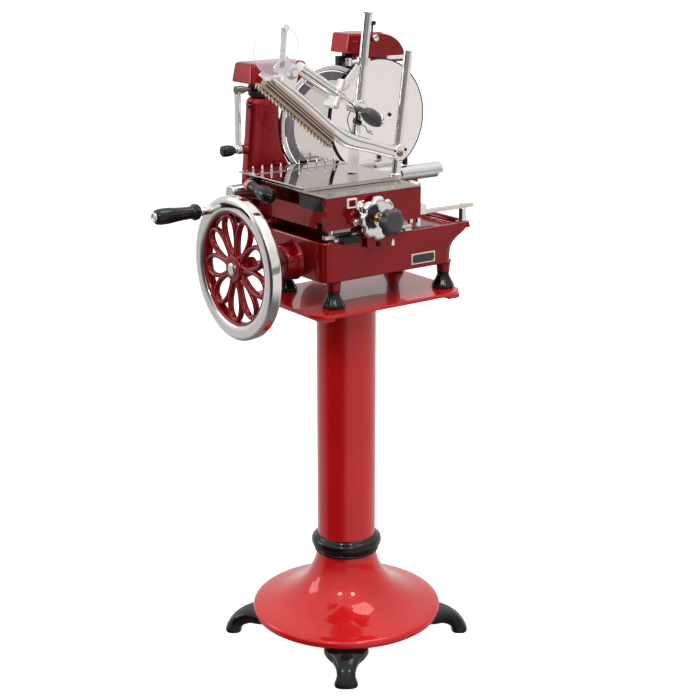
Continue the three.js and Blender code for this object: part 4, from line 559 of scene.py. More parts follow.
def stand():
    centre = (0, 0, 0)
    low, high = COLUMN_ENDS
    inner, outer = COLUMN_RADIUS - 4, COLUMN_RADIUS
    tube = turned([(inner, low), (outer, low), (outer, high), (inner, high)], centre, Z, 128, loop=True)
    piece("column_tube", "frame_group", STAND_RED, tube, "stand_column")

    curve = smooth_line([
        (64.5, 199.6), (66, 190), (69, 178), (74, 164), (82, 148), (94, 130), (113, 112), (150, 91.5),
        (195, 77.5),
    ], 10)
    r, under = BELL_RADIUS, BELL_UNDERSIDE
    rim = eased([(195, 77.5), (r, 72), (r, under), (190, under), (130, under), (130, 86)], 6, 6)
    inside = smooth_line([(130, 86), (90, 122), (70, 150), (58, 176), (58, 199.6)], 6)
    bell = turned(np.vstack([curve, rim[1:], inside[1:]]), centre, Z, 144, loop=True)
    piece("bell_base", "frame_group", STAND_RED, bell, "stand_base")

    lower = smooth_line([(63.3, 200), (68, 200.2), (70.6, 202), (71, 204.6), (70, 207), (68.4, 208.6)], 4)
    upper = smooth_line([
        (70.4, 210), (74, 212.6), (76, 217), (76.4, 222), (75.4, 228), (72.6, 232), (69, 234.4),
        (66.6, 237.4), (63.3, 239.6),
    ], 5)
    collar = turned(np.vstack([lower, upper]), centre, Z, 128, loop=True)
    piece("collar_rings", "frame_group", BLACK, collar, "stand_collar")

    x0, x1, y0, y1 = PLATE
    sheet = slab(rectangle(x0, x1, y0, y1, PLATE_CORNER, 14), PLATE_BOTTOM, PLATE_TOP, "xy", 1.6, 3)
    low, high = 762, PLATE_BOTTOM + 0.5
    bars = [brick(x, x + 30, -118, 118, low, high, 2.0) for x in (-142, 182)]
    bars.append(brick(-142, 212, -30, 30, low + 0.5, high - 0.1, 2.0))
    bars.append(rod((0, 0, low), (0, 0, high), 78, 96, 2))
    piece("stand_plate", "frame_group", STAND_RED, [sheet, *bars], "stand_top_plate")

    for i, name in enumerate(["right", "back", "left", "front"]):
        piece(f"paw_foot_{name}", "frame_group", BLACK, paw(FOOT_TURN + 90 * i), f"stand_foot_{name}")


def paw(direction):
    """A paw foot: rings of a rounded section along a bent line, with grooves between the toes.
    Each station gives the reach, the height, half the width, half the depth and the dip in degrees."""
    tip = FOOT_REACH
    under = BELL_UNDERSIDE - SEAT
    stations = [
        (tip - 132, under - 13, 26, 12, 0, 0),
        (tip - 112, under - 14.5, 42, 14, 0, 0),
        (tip - 92, under - 15.5, 48, 15, 0, 0),
        (tip - 72, under - 17, 41, 16, 7, 0),
        (tip - 53, under - 20, 29, 16.5, 22, 0),
        (tip - 37, under - 28, 22, 16.5, 46, 0.1),
        (tip - 26, under - 38, 20, 16, 68, 0.5),
        (tip - 20, 10, 23, 16.5, 84, 1.0),
        (tip - 19, 4.5, 25, 18, 90, 1.2),
        (tip - 19, 0.8, 24.6, 17.8, 90, 1.2),
        (tip - 19, 0, 23, 16.4, 90, 1.1),
    ]
    line = smooth_line(stations, 5)
    side, over = oval(1, 1, 48, 0.7).T
    angle = np.arange(48) * (2 * np.pi / 48)
    reach, height, half_width, half_depth, dip, toes = (line[:, k, None] for k in range(6))
    height = np.maximum(height, 0)
    groove = 1 - 0.1 * toes * np.maximum(np.sin(angle), 0) * np.abs(np.sin(1.5 * angle + np.pi / 4)) ** 6
    across = half_width * side
    deep = half_depth * over * groove
    tilt = np.radians(np.clip(dip, 0, 90))
    out = reach + deep * np.sin(tilt)
    rings = np.stack(np.broadcast_arrays(out, across, height + deep * np.cos(tilt)), -1)
    return rotated(loft(rings), direction, Z)


# Base of the machine

def machine_feet():
    skirt = [(24, 3), (23.6, 6), (20.6, 12), (16.6, 19), (13.6, 26), (12.6, 31), (13.2, 33)]
    skirt = smooth_line(skirt, 5)
    profile = np.vstack([[(0, 0.3), (22.6, 0.3), (24, 1.4)], skirt, [(13.8, 34.4), (13.8, 36), (0, 36)]])

    def fluted(radius, height):
        return np.clip((30 - height) / 14, 0, 1) * (radius > 9)

    for name, (x, y) in FEET.items():
        foot = turned(profile, (x, y, PLATE_TOP), Z, 90, lobes=grooves(9, 0.06, fluted))
        piece(f"fluted_foot_{name}", "frame_group", BLACK, foot, f"machine_foot_{name}", slot="rubber")


def base_casting():
    x0, x1, y0, y1 = BASE
    flare = smooth_line([
        (0, 0.0), (14, 0.0), (30, 0.03), (42, 0.16), (52, 0.4), (60, 0.68), (68, 0.9), (76, 1.0),
        (82, 1.03),
    ], 3)

    def ring(inset, height, corner, share):
        return [(*p, BASE_BOTTOM + height) for p in rectangle(
            x0 + inset, x1 + share * BASE_TIP - inset, y0 + inset, y1 - inset, corner, 10)]

    floor = [ring(12, 3.6, 18, 0), ring(12, 0, 18, 0), ring(3, 0, 24, 0), ring(0.8, 0.8, 26, 0)]
    wall = [ring(0, h if h > 2 else 2.4, 27, s) for h, s in flare if h < 79]
    lip = 1.02
    top = [ring(0, 79, 27, lip), ring(0.9, 81.2, 27, lip), ring(3, 82, 25, lip), ring(6.4, 82, 23, lip)]
    deck = [ring(8, 81, 22, lip), ring(8.6, 78, 21, lip), ring(9.4, 73, 20, lip), ring(12.5, 70, 18, lip)]
    body = loft(floor + wall + top + deck)

    legs = []
    for x, y in FEET.values():
        leg = smooth_line([(14, -21.5), (14.2, -15), (14.8, -9), (15.8, -4), (17, -0.4), (17.2, 1.6)], 5)
        legs.append(turned(np.vstack([[(0, -21.5)], leg, [(0, 6)]]), (x, y, BASE_BOTTOM), Z, 48))

    boss = [(0, 0), (11, 0), (31, 0), (34.6, 4), (36.4, 18), (38.4, 29), (43, 36), (0, 36)]
    boss = lathe(boss, 3.4, (x0 - 34, *DRIVE), X, 72, 5)
    rail_post = [(0, 0), (18, 0), (16, 4), (15, 11.7), (8, 11.7), (0, 11.7)]
    crank_post = [(0, 0), (20, 0), (18, 4), (18, 12), (8.4, 12), (0, 12)]
    posts = [
        lathe(rail_post, 1.5, (RAIL_ENDS[1], RAIL_Y, DECK), Z),
        lathe(crank_post, 1.5, (40, DRIVE[0], DECK), Z),
        brick(218, 303, 119, 160, DECK - 4, BASE_TOP - 3, 3.0, 3),
        brick(283, 303, 140, 160, DECK - 4, 976.2, 2.0, 3),
    ]
    piece("base_body", "frame_group", RED, [body, boss, *legs, *posts], "base_casting")
    piece("base_floor", "frame_group", BLACK, of_node("bottom_cover", 0.0), "bottom_cover")


def base_trim():
    """The bare name plate with its rivets, a dark strip of painted shade on the deck, and the oiler on
    the guide bar's post.
    """
    front = BASE[2]
    border = slab(rectangle(89, 151, 848, 870.4, 1.6, 3), front - 1.3, front + 0.3, "xz", 0.3)
    piece("plate_border", "frame_group", WHITE_PAINT, border)
    inner = slab(rectangle(91.4, 148.6, 850.4, 868.0, 0.8, 3), front - 1.7, front - 1.0, "xz", 0.2)
    piece("plate_panel", "frame_group", PLATE_BLACK, inner)
    rivets = [screw((x, front - 1.6, z), -Y, 1.1) for x in (93.2, 146.8) for z in (852.2, 866.2)]
    piece("plate_rivets", "frame_group", ALUMINIUM, rivets)
    # A thin dark strip laid on the deck beside the rail guide: painted shade for a bracket's shadow, not
    # a recess.
    slot = slab(rectangle(118, 188, -89, -46, 8, 5), DECK - 0.3, DECK + 0.8, "xy", 0.3)
    piece("deck_shade_strip", "frame_group", RUBBER, slot)
    oiler = [(0, 0), (6, 0), (6, 12), (5, 17), (0, 18)]
    oiler = lathe(oiler, 1.2, (272, GUIDE_BAR[0], 1002.8), Z, 40)
    piece("bar_oiler", "frame_group", PLASTIC, oiler)


def rails():
    left, right = RAIL_ENDS
    half = 6
    flat = rectangle(left - 8, right + 28, RAIL_Y - half, RAIL_Y + half, half * 1.45, 8)
    rail = slab(flat, 948, 956, "xy", 1.0, 3)
    post = lathe([(0, 0), (8, 0), (8, 27), (7, 28.5), (0, 28.5)], 0.8, (right, RAIL_Y, BASE_TOP), Z)
    stub = rod((left, RAIL_Y, 933.3), (left, RAIL_Y, 949), 5)
    head = [(0, 0), (4.6, 0), (4.6, 1.6), (3.6, 2.4), (2.2, 2.4), (2.0, 1.2), (0, 1.2)]
    screws = [lathe(head, 0.3, (x, RAIL_Y, 955.6), Z, 32) for x in RAIL_ENDS]
    piece("rail_bar", "frame_group", PALE_STEEL, [rail, *screws], "front_rail")
    piece("rail_posts", "frame_group", CHROME, [post, stub])

    track = slab(rectangle(-122, 102, -97, -83, 9, 8), 925, 933, "xy", 0.8, 3)
    feet = [brick(x - 8, x + 8, -105, -83, 920.3, 926, 0.8) for x in (-96, 82)]
    piece("track_strip", "frame_group", PALE_STEEL, [track, *feet], "track_bar")

    r = GUIDE_RADIUS
    bar = lathe([(0, 0), (r - 2, 0), (r, 1.8), (r, 440), (0, 440)], 0.8, (-187, *GUIDE_BAR), X, 96)
    angle = np.radians(np.linspace(-14, 194, 48))
    outer = np.stack([GUIDE_COVER_RADIUS * np.cos(angle), GUIDE_COVER_RADIUS * np.sin(angle)], 1)
    shell = np.vstack([outer, outer[::-1] * 0.91])
    cover = slab(shell + GUIDE_COVER, 252, 368, "yz", 0.6, 2)
    end = [(0, 0), (13.6, 0), (13.6, 110), (12.8, 111), (9.6, 111), (9.2, 98), (0, 98)]
    core = lathe(end, 0.5, (250, GUIDE_BAR[0], 979.6), X, 72)
    piece("guide_tube", "frame_group", ALUMINIUM, [bar, cover, core], "guide_bar")
    sleeve = [(0, 0), (14.2, 0), (16.2, 2), (16.2, 52), (14.8, 54), (0, 54)]
    piece("guide_end_sleeve", "frame_group", ALUMINIUM, lathe(sleeve, 0.8, (-189, *GUIDE_BAR), X, 96))


# Flywheel

def flywheel():
    centre = np.array([WHEEL_FACE, *DRIVE], float)
    r = WHEEL_RADIUS
    inner, back = 114.6, WHEEL_WIDTH
    band = [
        (inner, 4.2), (117, 2.4), (124, 0.5), (131, 0), (r - 6, 0.9), (r - 0.4, 3.4), (r, 8),
        (r, back - 6), (r - 2.5, back - 1), (r - 6, back), (inner, back),
    ]
    rim = lathe(band, 2.6, centre, X, 160, 5, loop=True)
    piece("wheel_rim", "flywheel_group", CHROME, rim, "flywheel", slot="polished_aluminium")

    web = [(115.4, 3.4), (110, 5), (108.6, 9), (109, 21), (110.6, 25), (115.4, 26)]
    web = lathe(web, 1.4, centre, X, 144, loop=True)
    hub = [(0, 2.2), (15, 2.2), (25, 2.2), (27.5, 5), (28, 22), (22, 30), (19.5, 40), (19, 52), (0, 52)]
    hub = lathe(hub, 1.6, centre, X, 72)
    t = np.arange(56) * (2 * np.pi / 56)
    shells = [web, hub]
    for i in range(PETALS):
        angle = math.radians(-6 + 360 / PETALS * i)
        out = 66 + 41 * np.cos(t)
        side = 19.5 * np.sin(t) * (1 + 0.3 * np.cos(t))
        c, s = math.cos(angle), math.sin(angle)
        path = np.stack([np.full_like(t, WHEEL_FACE + 13.0), out * c - side * s, out * s + side * c], 1)
        shells.append(swept(path + [0, *DRIVE], oval(5.0, 6.4, 18, 0.85), X, loop=True))
    piece("wheel_petals", "flywheel_group", RED, shells, "flywheel")

    cap = [(0, -2.2), (9, -2.2), (12.6, -0.8), (13.4, 3), (0, 3)]
    piece("wheel_cap", "flywheel_group", CHROME, lathe(cap, 1.2, centre, X, 64))
    piece("main_shaft", "flywheel_group", STEEL, of_node("drive_shaft", 0.0), "drive_shaft")

    tip = WHEEL_FACE - 124
    stem = [(0, 1.6), (5.6, 1.6), (6.6, 0), (9.6, 0), (10.4, 1.2), (10.4, 3.7), (6, 3.7), (6, 103)]
    ferrule = smooth_line([
        (6.2, 104.6), (8.6, 105.4), (9.4, 109), (8.6, 116), (8.2, 126), (9.4, 133), (11.4, 136.2),
    ], 4)
    spindle = np.vstack([eased(stem, 0.5), ferrule, [(11.4, 140), (0, 140)]])
    spindle = turned(spindle, (tip - 4, *HANDLE_PIN), X, 48)
    piece("crank_spindle", "flywheel_group", CHROME, spindle, "handle_spindle")
    body = smooth_line([
        (12.6, 0.8), (14.4, 2.4), (15.8, 9), (16.4, 19), (16.2, 30), (14.6, 45), (13.2, 62), (12.8, 76),
        (13.2, 83),
    ], 6)
    collar = smooth_line([
        (14, 85), (16.4, 86.4), (17, 88.6), (15.6, 90.8), (14.6, 91.8), (15.6, 93), (15.8, 95),
        (14.2, 97.4),
    ], 4)
    profile = np.vstack([[(6.3, 0.2), (12, 0.2)], body, collar, [(10, 98), (6.3, 98)]])
    grip = turned(profile, (tip, *HANDLE_PIN), X, 64, loop=True)
    piece("crank_grip", "handle_group", PLASTIC, grip, "handle_grip")


def drive():
    bodies = {"crank_shaft": "crank_group", "cross_shaft": "cross_group", "connecting_rod": "rod_group"}
    for node, body in bodies.items():
        piece(node + "_turned", body, STEEL, of_node(node, 0.0), node)
    piece("belt_loop", "frame_group", RUBBER, of_node("drive_belt", 0.0), "drive_belt")
    piece("belt_case", "frame_group", RED, of_node("drive_case", 0.0), "drive_case")


# Blade, guard and neck

def blade():
    r, flat = BLADE_RADIUS, BLADE_RADIUS - BLADE_BEVEL
    face = lathe([(0, -0.2), (flat - 0.4, -0.2), (flat, 0.2), (flat, 3), (0, 3)], 0.2, BLADE, Y, 160, 2)
    piece("blade_disc", "blade_group", SPUN_BLADE, face, "blade")
    edge = turned([(flat - 0.6, 0), (r, 2.4), (r, 2.9), (flat - 0.6, 3)], BLADE, Y, 160, loop=True)
    piece("blade_edge", "blade_group", BLADE_EDGE, edge, "blade")
    head = [(0, 0), (3.4, 0), (3.4, 1.0), (0, 1.0)]
    circle = 22
    bolts = [lathe(head, 0.4, BLADE + [circle * math.cos(a), -1.1, circle * math.sin(a)], Y, 24, 3)
             for a in np.radians([30, 150, 270])]
    cap = lathe([(0, -3), (10, -3), (14, -1.6), (15, 0), (0, 0)], 0.8, BLADE, Y, 64)
    piece("blade_hub_cap", "blade_group", CHROME, [cap, *bolts])
    piece("blade_spindle", "blade_group", STEEL, of_node("blade_shaft", 0.0), "blade_shaft")

    low, high = GUARD_INNER, GUARD_OUTER
    band = [(low, 2.5), (low + 2, 0), (high - 2, 0), (high, 2), (high, 9.5), (low, 9.5)]
    band = lathe(band, 0.8, BLADE + [0, 0.5, 0], Y, 160, 3, loop=True)
    piece("guard_band", "frame_group", ALUMINIUM, band, "guard_ring")

    r = COVER_RADIUS
    disc = lathe([(0, 0), (r - 0.8, 0), (r, 0.7), (r, 2), (0, 2)], 0.4, COVER_DISC, Y, 180, 3)
    piece("cover_plate", "frame_group", SPUN_DISC, disc, "cover_disc")
    band = [(r - 2.8, -0.3), (r + 0.2, -0.1), (r + 0.2, 2.2), (r - 2.8, 2.3)]
    piece("cover_rim", "frame_group", RUBBER, turned(band, COVER_DISC, Y, 180, loop=True))
    piece("cover_screw", "frame_group", BLACK, screw((264, 198, 1110), -Y, 4.4))


def screw(place, axis, radius):
    """A screw's head: a domed edge round a hollow for the key. Its profile is in radii."""
    head = radius * np.array([(0, 0), (1, 0), (1, 0.5), (0.8, 0.75), (0.5, 0.75), (0.44, 0.3), (0, 0.3)])
    return lathe(head, 0.12 * radius, np.asarray(place, float) - 0.2 * unit(axis), axis, 36, 3)


def nut(place, axis, radius, thickness):
    """A six-sided nut with eased corners."""
    side = [(0, 0), (radius, 0), (radius, thickness), (0, thickness)]
    return lathe(side, 0.1 * radius, place, axis, 6, 2)


def neck():
    levels = smooth_line([
        (934, -108, 26), (960, -107, 24), (985, -105.5, 18), (1008, -104, 12), (1040, -100.5, -6),
        (1065, -98, -14), (1090, -95, -18.5), (1115, -93, -20), (1140, -91, -20), (1158, -90, -21),
    ], 4)
    dome = [(1164, -88.6, -22.4, 1.4), (1168.5, -86, -25, 4), (1171.2, -82, -29, 8), (1172, -77, -34, 12)]
    front, back = NECK_FRONT, NECK_BACK
    rings = [[(*p, z) for p in rectangle(x0, x1, front, back, 19, 10)] for z, x0, x1 in levels]
    rings += [[(*p, z) for p in rectangle(x0, x1, front + inset, back - inset, 17, 10)]
              for z, x0, x1, inset in dome]
    column = loft(rings)
    foot = slab(rectangle(-112, 30, 101, back, 16, 8), 920.3, 946, "xy", 5.0, 4)
    bar_foot = brick(-173, -100, 138, 162, 924, 942, 3.0, 3)
    bar_post = brick(-173, -151, 138, 162, 924, 976.2, 3.0, 3)
    x, _, z = BLADE
    front, back = 219, 246.7
    arm = brick(-60, x, front, back, z - 20, z + 20, 4.0, 3)
    boss = rod((x, front, z), (x, back, z), 26, 72, 3)
    right_arm = brick(x, 279, 222, 240, z - 4, z + 20, 3.0, 3)
    upright = brick(237, 261, 222, 240, 1100, 1289.7, 2.0, 3)
    stud = rod((265, 200.3, 1111), (265, 224, 1111), 7)
    lug = rod((227, 213.3, 1108), (227, 224, 1108), 5)
    side_boss = [(0, 0), (9.6, 0), (10, 3), (11, 12), (16, 20), (0, 20)]
    side_boss = lathe(side_boss, 1.4, (-108, LEVER_Y, LEVER_PIN), X)
    shells = [column, foot, bar_foot, bar_post, arm, boss, right_arm, upright, stud, lug, side_boss]
    piece("neck_body", "frame_group", RED, shells, "neck_casting")

    heads = [screw((-90.4 - 0.2 * i, 222, 1161 - 9 * i), -X, 3.6) for i in (0, 1)]
    piece("neck_screws", "frame_group", BLACK, heads)

    collar = [
        (0, 0), (21, 0), (24, 2), (24, 9), (21.5, 10), (21.5, 13), (24, 14), (24, 22), (22, 24.8),
        (0, 24.8),
    ]
    knurls = grooves(28, 0.035, lambda radius, _: radius > 22)
    collar = lathe(collar, 0.6, (-62, LEVER_Y, 1172.3), Z, 168, 3, lobes=knurls)
    piece("neck_wheel", "frame_group", PLASTIC, collar, "neck_collar")

    def ring(inset, height):
        x0, x1, y0, y1 = HEAD
        flat = rectangle(x0 + inset, x1 - inset, y0 + inset, y1 - inset, 9, 8)
        return [(*p, HEAD_BOTTOM + height) for p in flat]

    levels = [(3, 0), (0.8, 0.8), (0, 3), (4.6, 36), (6, 39.6), (9, 42), (13, 42.6)]
    piece("head_block", "frame_group", RED, loft([ring(*level) for level in levels]), "neck_head")

    y, z = LEVER_Y, LEVER_KNEE
    upright = slab(rectangle(y - 8, y + 8, 1056, 1192, 9, 6), -120, -113, "yz", 1.2, 3)
    eye = rod((-121, y, LEVER_PIN), (-112, y, LEVER_PIN), 10)
    piece("lever_strap", "frame_group", CHROME, [upright, eye], "lever_bar")
    bolts = [
        rod((-121.5, y, z), (-104, y, z), 8.6),
        rod((-113, y, z), (-86.3, y, z), 5.5),
        nut((-104, y, z), X, 8, 5),
    ]
    piece("lever_bolt", "frame_group", DARK_STEEL, bolts)

    grip = smooth_line([(10, 0.6), (11.6, 2.4), (12.2, 8), (12, 18), (10.6, 25), (8.4, 29)], 5)
    grip = np.vstack([[(0, 0), (8, 0)], grip, [(7.6, 31), (0, 31)]])
    start = (-158.3, LEVER_Y, LEVER_PIN)
    piece("lever_grip", "rear_knob_group", PLASTIC, turned(grip, start, X, 48), "lever_knob")
    ferrule = [(0, 30), (7.4, 30), (8, 32), (6.6, 35), (6.6, 37.4), (4, 38), (4, 55), (0, 55)]
    piece("lever_ferrule", "rear_knob_group", CHROME, lathe(ferrule, 0.6, start, X, steps=3))


def hood():
    """The sharpener's hood: U-shaped rings along X, round the outer wall and back along the inner."""
    back, wall = HOOD_BACK, HOOD_WALL
    hollow_from, hollow_to = 184, 318
    notch, notch_edge, edge = 206, 1246, 1224
    tops = smooth_line([
        (181, HOOD_TOP), (205, HOOD_TOP), (235, HOOD_TOP), (262, 1287), (284, 1281), (302, 1270),
        (313, 1257), (319, 1244), (322, 1229),
    ], 4)
    steps = [(175.2, 1247.5, 0.0), (176.6, 1257, 0.0), (179, 1275, 0.0), (181, 1288.2, 0.0)]
    steps += [(x, z, float(hollow_from <= x <= hollow_to)) for x, z in tops if x > 181.5]
    rings = []
    for x, top, hollow in steps:
        front = HOOD_FRONT + max(0.0, 207 - x) * 0.75
        low = notch_edge if x < notch else edge
        top = max(top, low + 1.0)
        corner = min(7.0, (top - low) * 0.4)
        outer = eased([(front, low), (front, top), (back, top), (back, low)], corner, 6)
        under = low + 0.5 + hollow * max(0.0, top - wall - low)
        inner = [(back - wall, low), (back - wall, under), (front + wall, under), (front + wall, low)]
        inner = eased(inner, 3, 2)
        rings.append([(x, y, z) for y, z in np.vstack([outer, inner])])
    piece("hood_shell", "frame_group", RED, loft(rings), "sharpener_hood", sharp=50)

    clip = slab(rectangle(268, 314, 1229.4, 1238, 1.5, 3), 212.4, 215.4, "xz", 0.5)
    piece("hood_clip", "frame_group", NYLON, clip)
    knob = [(0, 0), (3.4, 0), (3.4, 4), (7.6, 5), (8, 8), (7, 11), (0, 12)]
    piece("hood_stud", "frame_group", CHROME, lathe(knob, 1.0, (231, 215.2, 1279), -Y))

    holder = [
        brick(186, 202, 258, 273, 1238, 1284, 1.5, 3),
        brick(162, 200, 249, 265, 1208, 1240, 1.5, 3),
        lathe([(0, 0), (15, 0), (17, 2), (17, 9), (0, 9)], 1.0, (168, 214.5, 1216), Y, 72, 3),
        rod((168, 222, 1216), (168, 251, 1216), 5),
    ]
    piece("stone_bracket", "frame_group", BLACK, holder, "stone_holder")

    stem = rod((234, 225, 1288.6), (235.5, 225, 1307), 2.2)
    pad = eased([(229, 1305), (242, 1306), (241.5, 1315), (230, 1314)], 2.4, loop=True)
    pad = slab(pad, 220, 230, "xz", 1.0, 3)
    piece("stone_finger", "stone_lever_group", PLASTIC, [stem, pad], "stone_lever")


# Carriage, index wheel and knob

def carriage():
    piece("carriage_body", "carriage_group", RED, of_node("carriage_box", 1.4), "carriage_box")
    lid = of_node("carriage_top_plate", 0.5)
    piece("carriage_lid", "carriage_group", STEEL, lid, "carriage_top_plate")
    front, back = 124.3, 166
    bearings = [brick(-130, 104, front, 133, 976, 1000), brick(-166, -128, front, 133, 1005, 1019.5)]
    for x0, x1 in ((-130, -96), (70, 104)):
        bearings += [brick(x0, x1, front, back, 1004.6, 1020), brick(x0, x1, front, back, 972, 975.4)]
        bearings += [brick(x0, x1, front, 135.4, 974, 1006), brick(x0, x1, 164.6, back, 974, 1006, 0.2)]
    piece("bearing_blocks", "carriage_group", BLACK, bearings, "carriage_bearing")
    piece("rail_fork", "carriage_group", CHROME, of_node("rail_guide", 0.6), "rail_guide")
    piece("pawl_block", "carriage_group", CHROME, of_node("index_pawl", 0.5), "index_pawl")

    axis = unit((0, -1, -0.15))
    start = np.array([-158, 126.9, 1008.0])
    body = smooth_line([
        (11.6, 14), (12, 16), (10.8, 20), (11, 34), (12.4, 46), (14.8, 56), (16.2, 66), (16, 77),
        (13, 87), (8, 93), (3, 95.6),
    ], 6)
    profile = np.vstack([[(0, 13)], [(10.8, 13)], body, [(0, 96)]])
    piece("push_grip", "carriage_group", PLASTIC, turned(profile, start, axis, 64), "carriage_grip")
    ferrule = [(0, 0), (10.5, 0), (11.6, 1.5), (11.6, 13.5), (0, 13.5)]
    piece("push_ferrule", "carriage_group", PINK_FERRULE, lathe(ferrule, 0.8, start, axis, steps=3))


def carriage_trim():
    """What is fixed to the carriage's faces: the side window and the thickness stop with its screws."""
    left, front = BOX[0], BOX[2]
    window = slab(rectangle(-101, -24, 983, 1009, 3, 4), left - 0.8, left + 0.4, "yz", 0.3)
    piece("side_window", "carriage_group", PLASTIC, window)
    frame_plate = slab(rectangle(-83, -60, 988, 1007.6, 1.5, 3), front - 3.4, front + 0.2, "xz", 0.5)
    piece("stop_frame", "carriage_group", NYLON, frame_plate)
    centre = slab(rectangle(-79.6, -63.4, 991.4, 1004.2, 1.0, 3), front - 4.0, front - 3.0, "xz", 0.3)
    piece("stop_centre", "carriage_group", RED, centre)
    post = eased([(28, 899), (35, 899), (35, 908), (31.5, 914), (28, 908)], 1.0, 3, loop=True)
    steel = [
        nut((-50, front - 4.4, 984.5), -Y, 10.5, 4.0),
        nut((-61.6, front + 0.2, 959.3), -Y, 8.8, 5.0),
        screw((-61.6, front - 4.6, 959.3), -Y, 5.0),
        slab(post, front - 2.4, front + 0.2, "xz", 0.4),
    ]
    piece("stop_nuts", "carriage_group", CHROME, steel)
    dark = [
        lathe([(0, 0), (4.6, 0), (4.6, 0.6), (0, 0.6)], 0.2, (-50, front - 8.2, 984.5), -Y, 32, 2),
        brick(-56, -47, front - 4.6, front + 0.2, 953, 973, 0.8),
        screw((-4, front, 906.6), -Y, 5.4),
        brick(-90, -46, front + 0.4, front + 8.4, 915, 931, 1.2),
    ]
    piece("stop_screws", "carriage_group", BLACK, dark)


def feed():
    x, z = SCREW
    wheel = [
        (6, 0), (24, 0), (24, 5), (38, 5.4), (44, 8.5), (45.5, 13), (45, 18), (41.5, 21.8), (36, 23),
        (14, 23), (12, 21), (6, 21),
    ]
    lobes = grooves(8, 0.13, towards_rim, 3)
    wheel = lathe(wheel, 1.8, (x, INDEX_WHEEL_BACK, z), -Y, 192, 5, loop=True, lobes=lobes)
    piece("index_disc", "index_group", BRIGHT_ALUMINIUM, wheel, "index_wheel")

    knob = [
        (0, 0), (13, 0), (13, 3.6), (24, 4), (28.6, 7.5), (29, 13), (27.4, 18), (23, 22.6), (16, 24.6),
        (0, 25),
    ]
    lobes = grooves(6, 0.16, towards_rim)
    knob = lathe(knob, 2.0, (x, FEED_KNOB_BACK, z), -Y, 144, 5, lobes=lobes)
    piece("star_knob", "feed_group", SATIN_PLASTIC, knob, "feed_knob")

    shaft = rod((x, FEED_KNOB_BACK + SEAT, z), (x, BOX[3] - SEAT, z), 5.5, 40)
    piece("brass_screw", "feed_group", BRASS, shaft, "feed_screw")


# Product table and rods

def table():
    sheet = slab(rectangle(*TABLE, 5, 5), TABLE_TOP - 3, TABLE_TOP, "xy", 0.5, 3)
    piece("table_sheet", "table_group", MIRROR, sheet, "product_table")
    under = [brick(x - 5, x + 5, -45, 119, 1016.3, 1022.5, 0.4) for x in (-96, 62)]
    under.append(brick(-28, -8, 40, 70, 953, 1022.5, 0.8))
    piece("table_slides", "table_group", STEEL, under, "product_table")
    lip = brick(-137, 103, -50, -44, 1016.8, 1022.4, 0.5)
    piece("table_lip", "table_group", PALE_STEEL, lip)

    top = TABLE_TOP + SEAT
    pin = smooth_line([(2.1, 0), (2.1, 6), (1.9, 9.5), (1.1, 12), (0.2, 13)], 3)
    pin = np.vstack([[(0, 0)], pin, [(0, 13)]])
    pins = [turned(pin, (-125 + 23 * (i + 0.5 * row), 157 - 17 * row, top), Z, 14)
            for row in (0, 1) for i in range(10 - row)]
    strip = brick(-134, 102, 135, 162, top, top + 1.2, 0.3)
    piece("spike_strip", "table_group", CHROME, [strip, *pins], "spike_row", slot="mirror_steel")


def lean(x, y, z):
    """The axis of a leaning rod at height z, where it stands at x, y on the table."""
    return np.array([x + ROD_LEAN * (z - TABLE_TOP), y, z], float)


def rods():
    x, y = RIGHT_ROD
    seat = lathe([(0, 0), (12, 0), (12, 3), (8.6, 5), (0, 5)], 0.6, (x, y, TABLE_TOP + SEAT), Z)
    post = rod(lean(x, y, ROD_FOOT), lean(x, y, RIGHT_ROD_TOP), ROD_RADIUS, 64, 1.0)
    piece("right_post", "table_group", CHROME, [post, seat], "right_rod")
    x, y = TALL_ROD
    post = rod(lean(x, y, ROD_FOOT), lean(x, y, TALL_ROD_TOP), ROD_RADIUS, 64, 0.8)
    cap = rod(lean(x, y, TALL_ROD_TOP - 2.4), lean(x, y, TALL_ROD_TOP + 0.9), 12.4, 64, 0.7)
    piece("tall_post", "table_group", CHROME, [post, cap], "tall_rod")
    tube = [(9.3, 0), (11.4, 0), (11.8, 1.2), (11.8, 50), (11, 54), (9.3, 54)]
    slope = lean(0, 0, 1) - lean(0, 0, 0)
    sleeve = lathe(tube, 0.5, lean(x, y, TABLE_TOP + 0.6), slope, 64, 3, loop=True)
    piece("nylon_sleeve", "table_group", NYLON, sleeve, "rod_sleeve")


# Meat press

def on_gripper(along, across):
    """A point along the gripper's line and square to it, as (x, z)."""
    x, z, slope = GRIPPER
    u = (math.cos(math.radians(slope)), math.sin(math.radians(slope)))
    return (x + along * u[0] + across * u[1], z + along * u[1] - across * u[0])


def gripper_band(start, end, low, high):
    """The corners of a band along the gripper."""
    return [on_gripper(end, low), on_gripper(start, low), on_gripper(start, high), on_gripper(end, high)]


def at(hinge, y):
    """The place on a hinge's axis at depth y."""
    return (hinge[0], y, hinge[1])


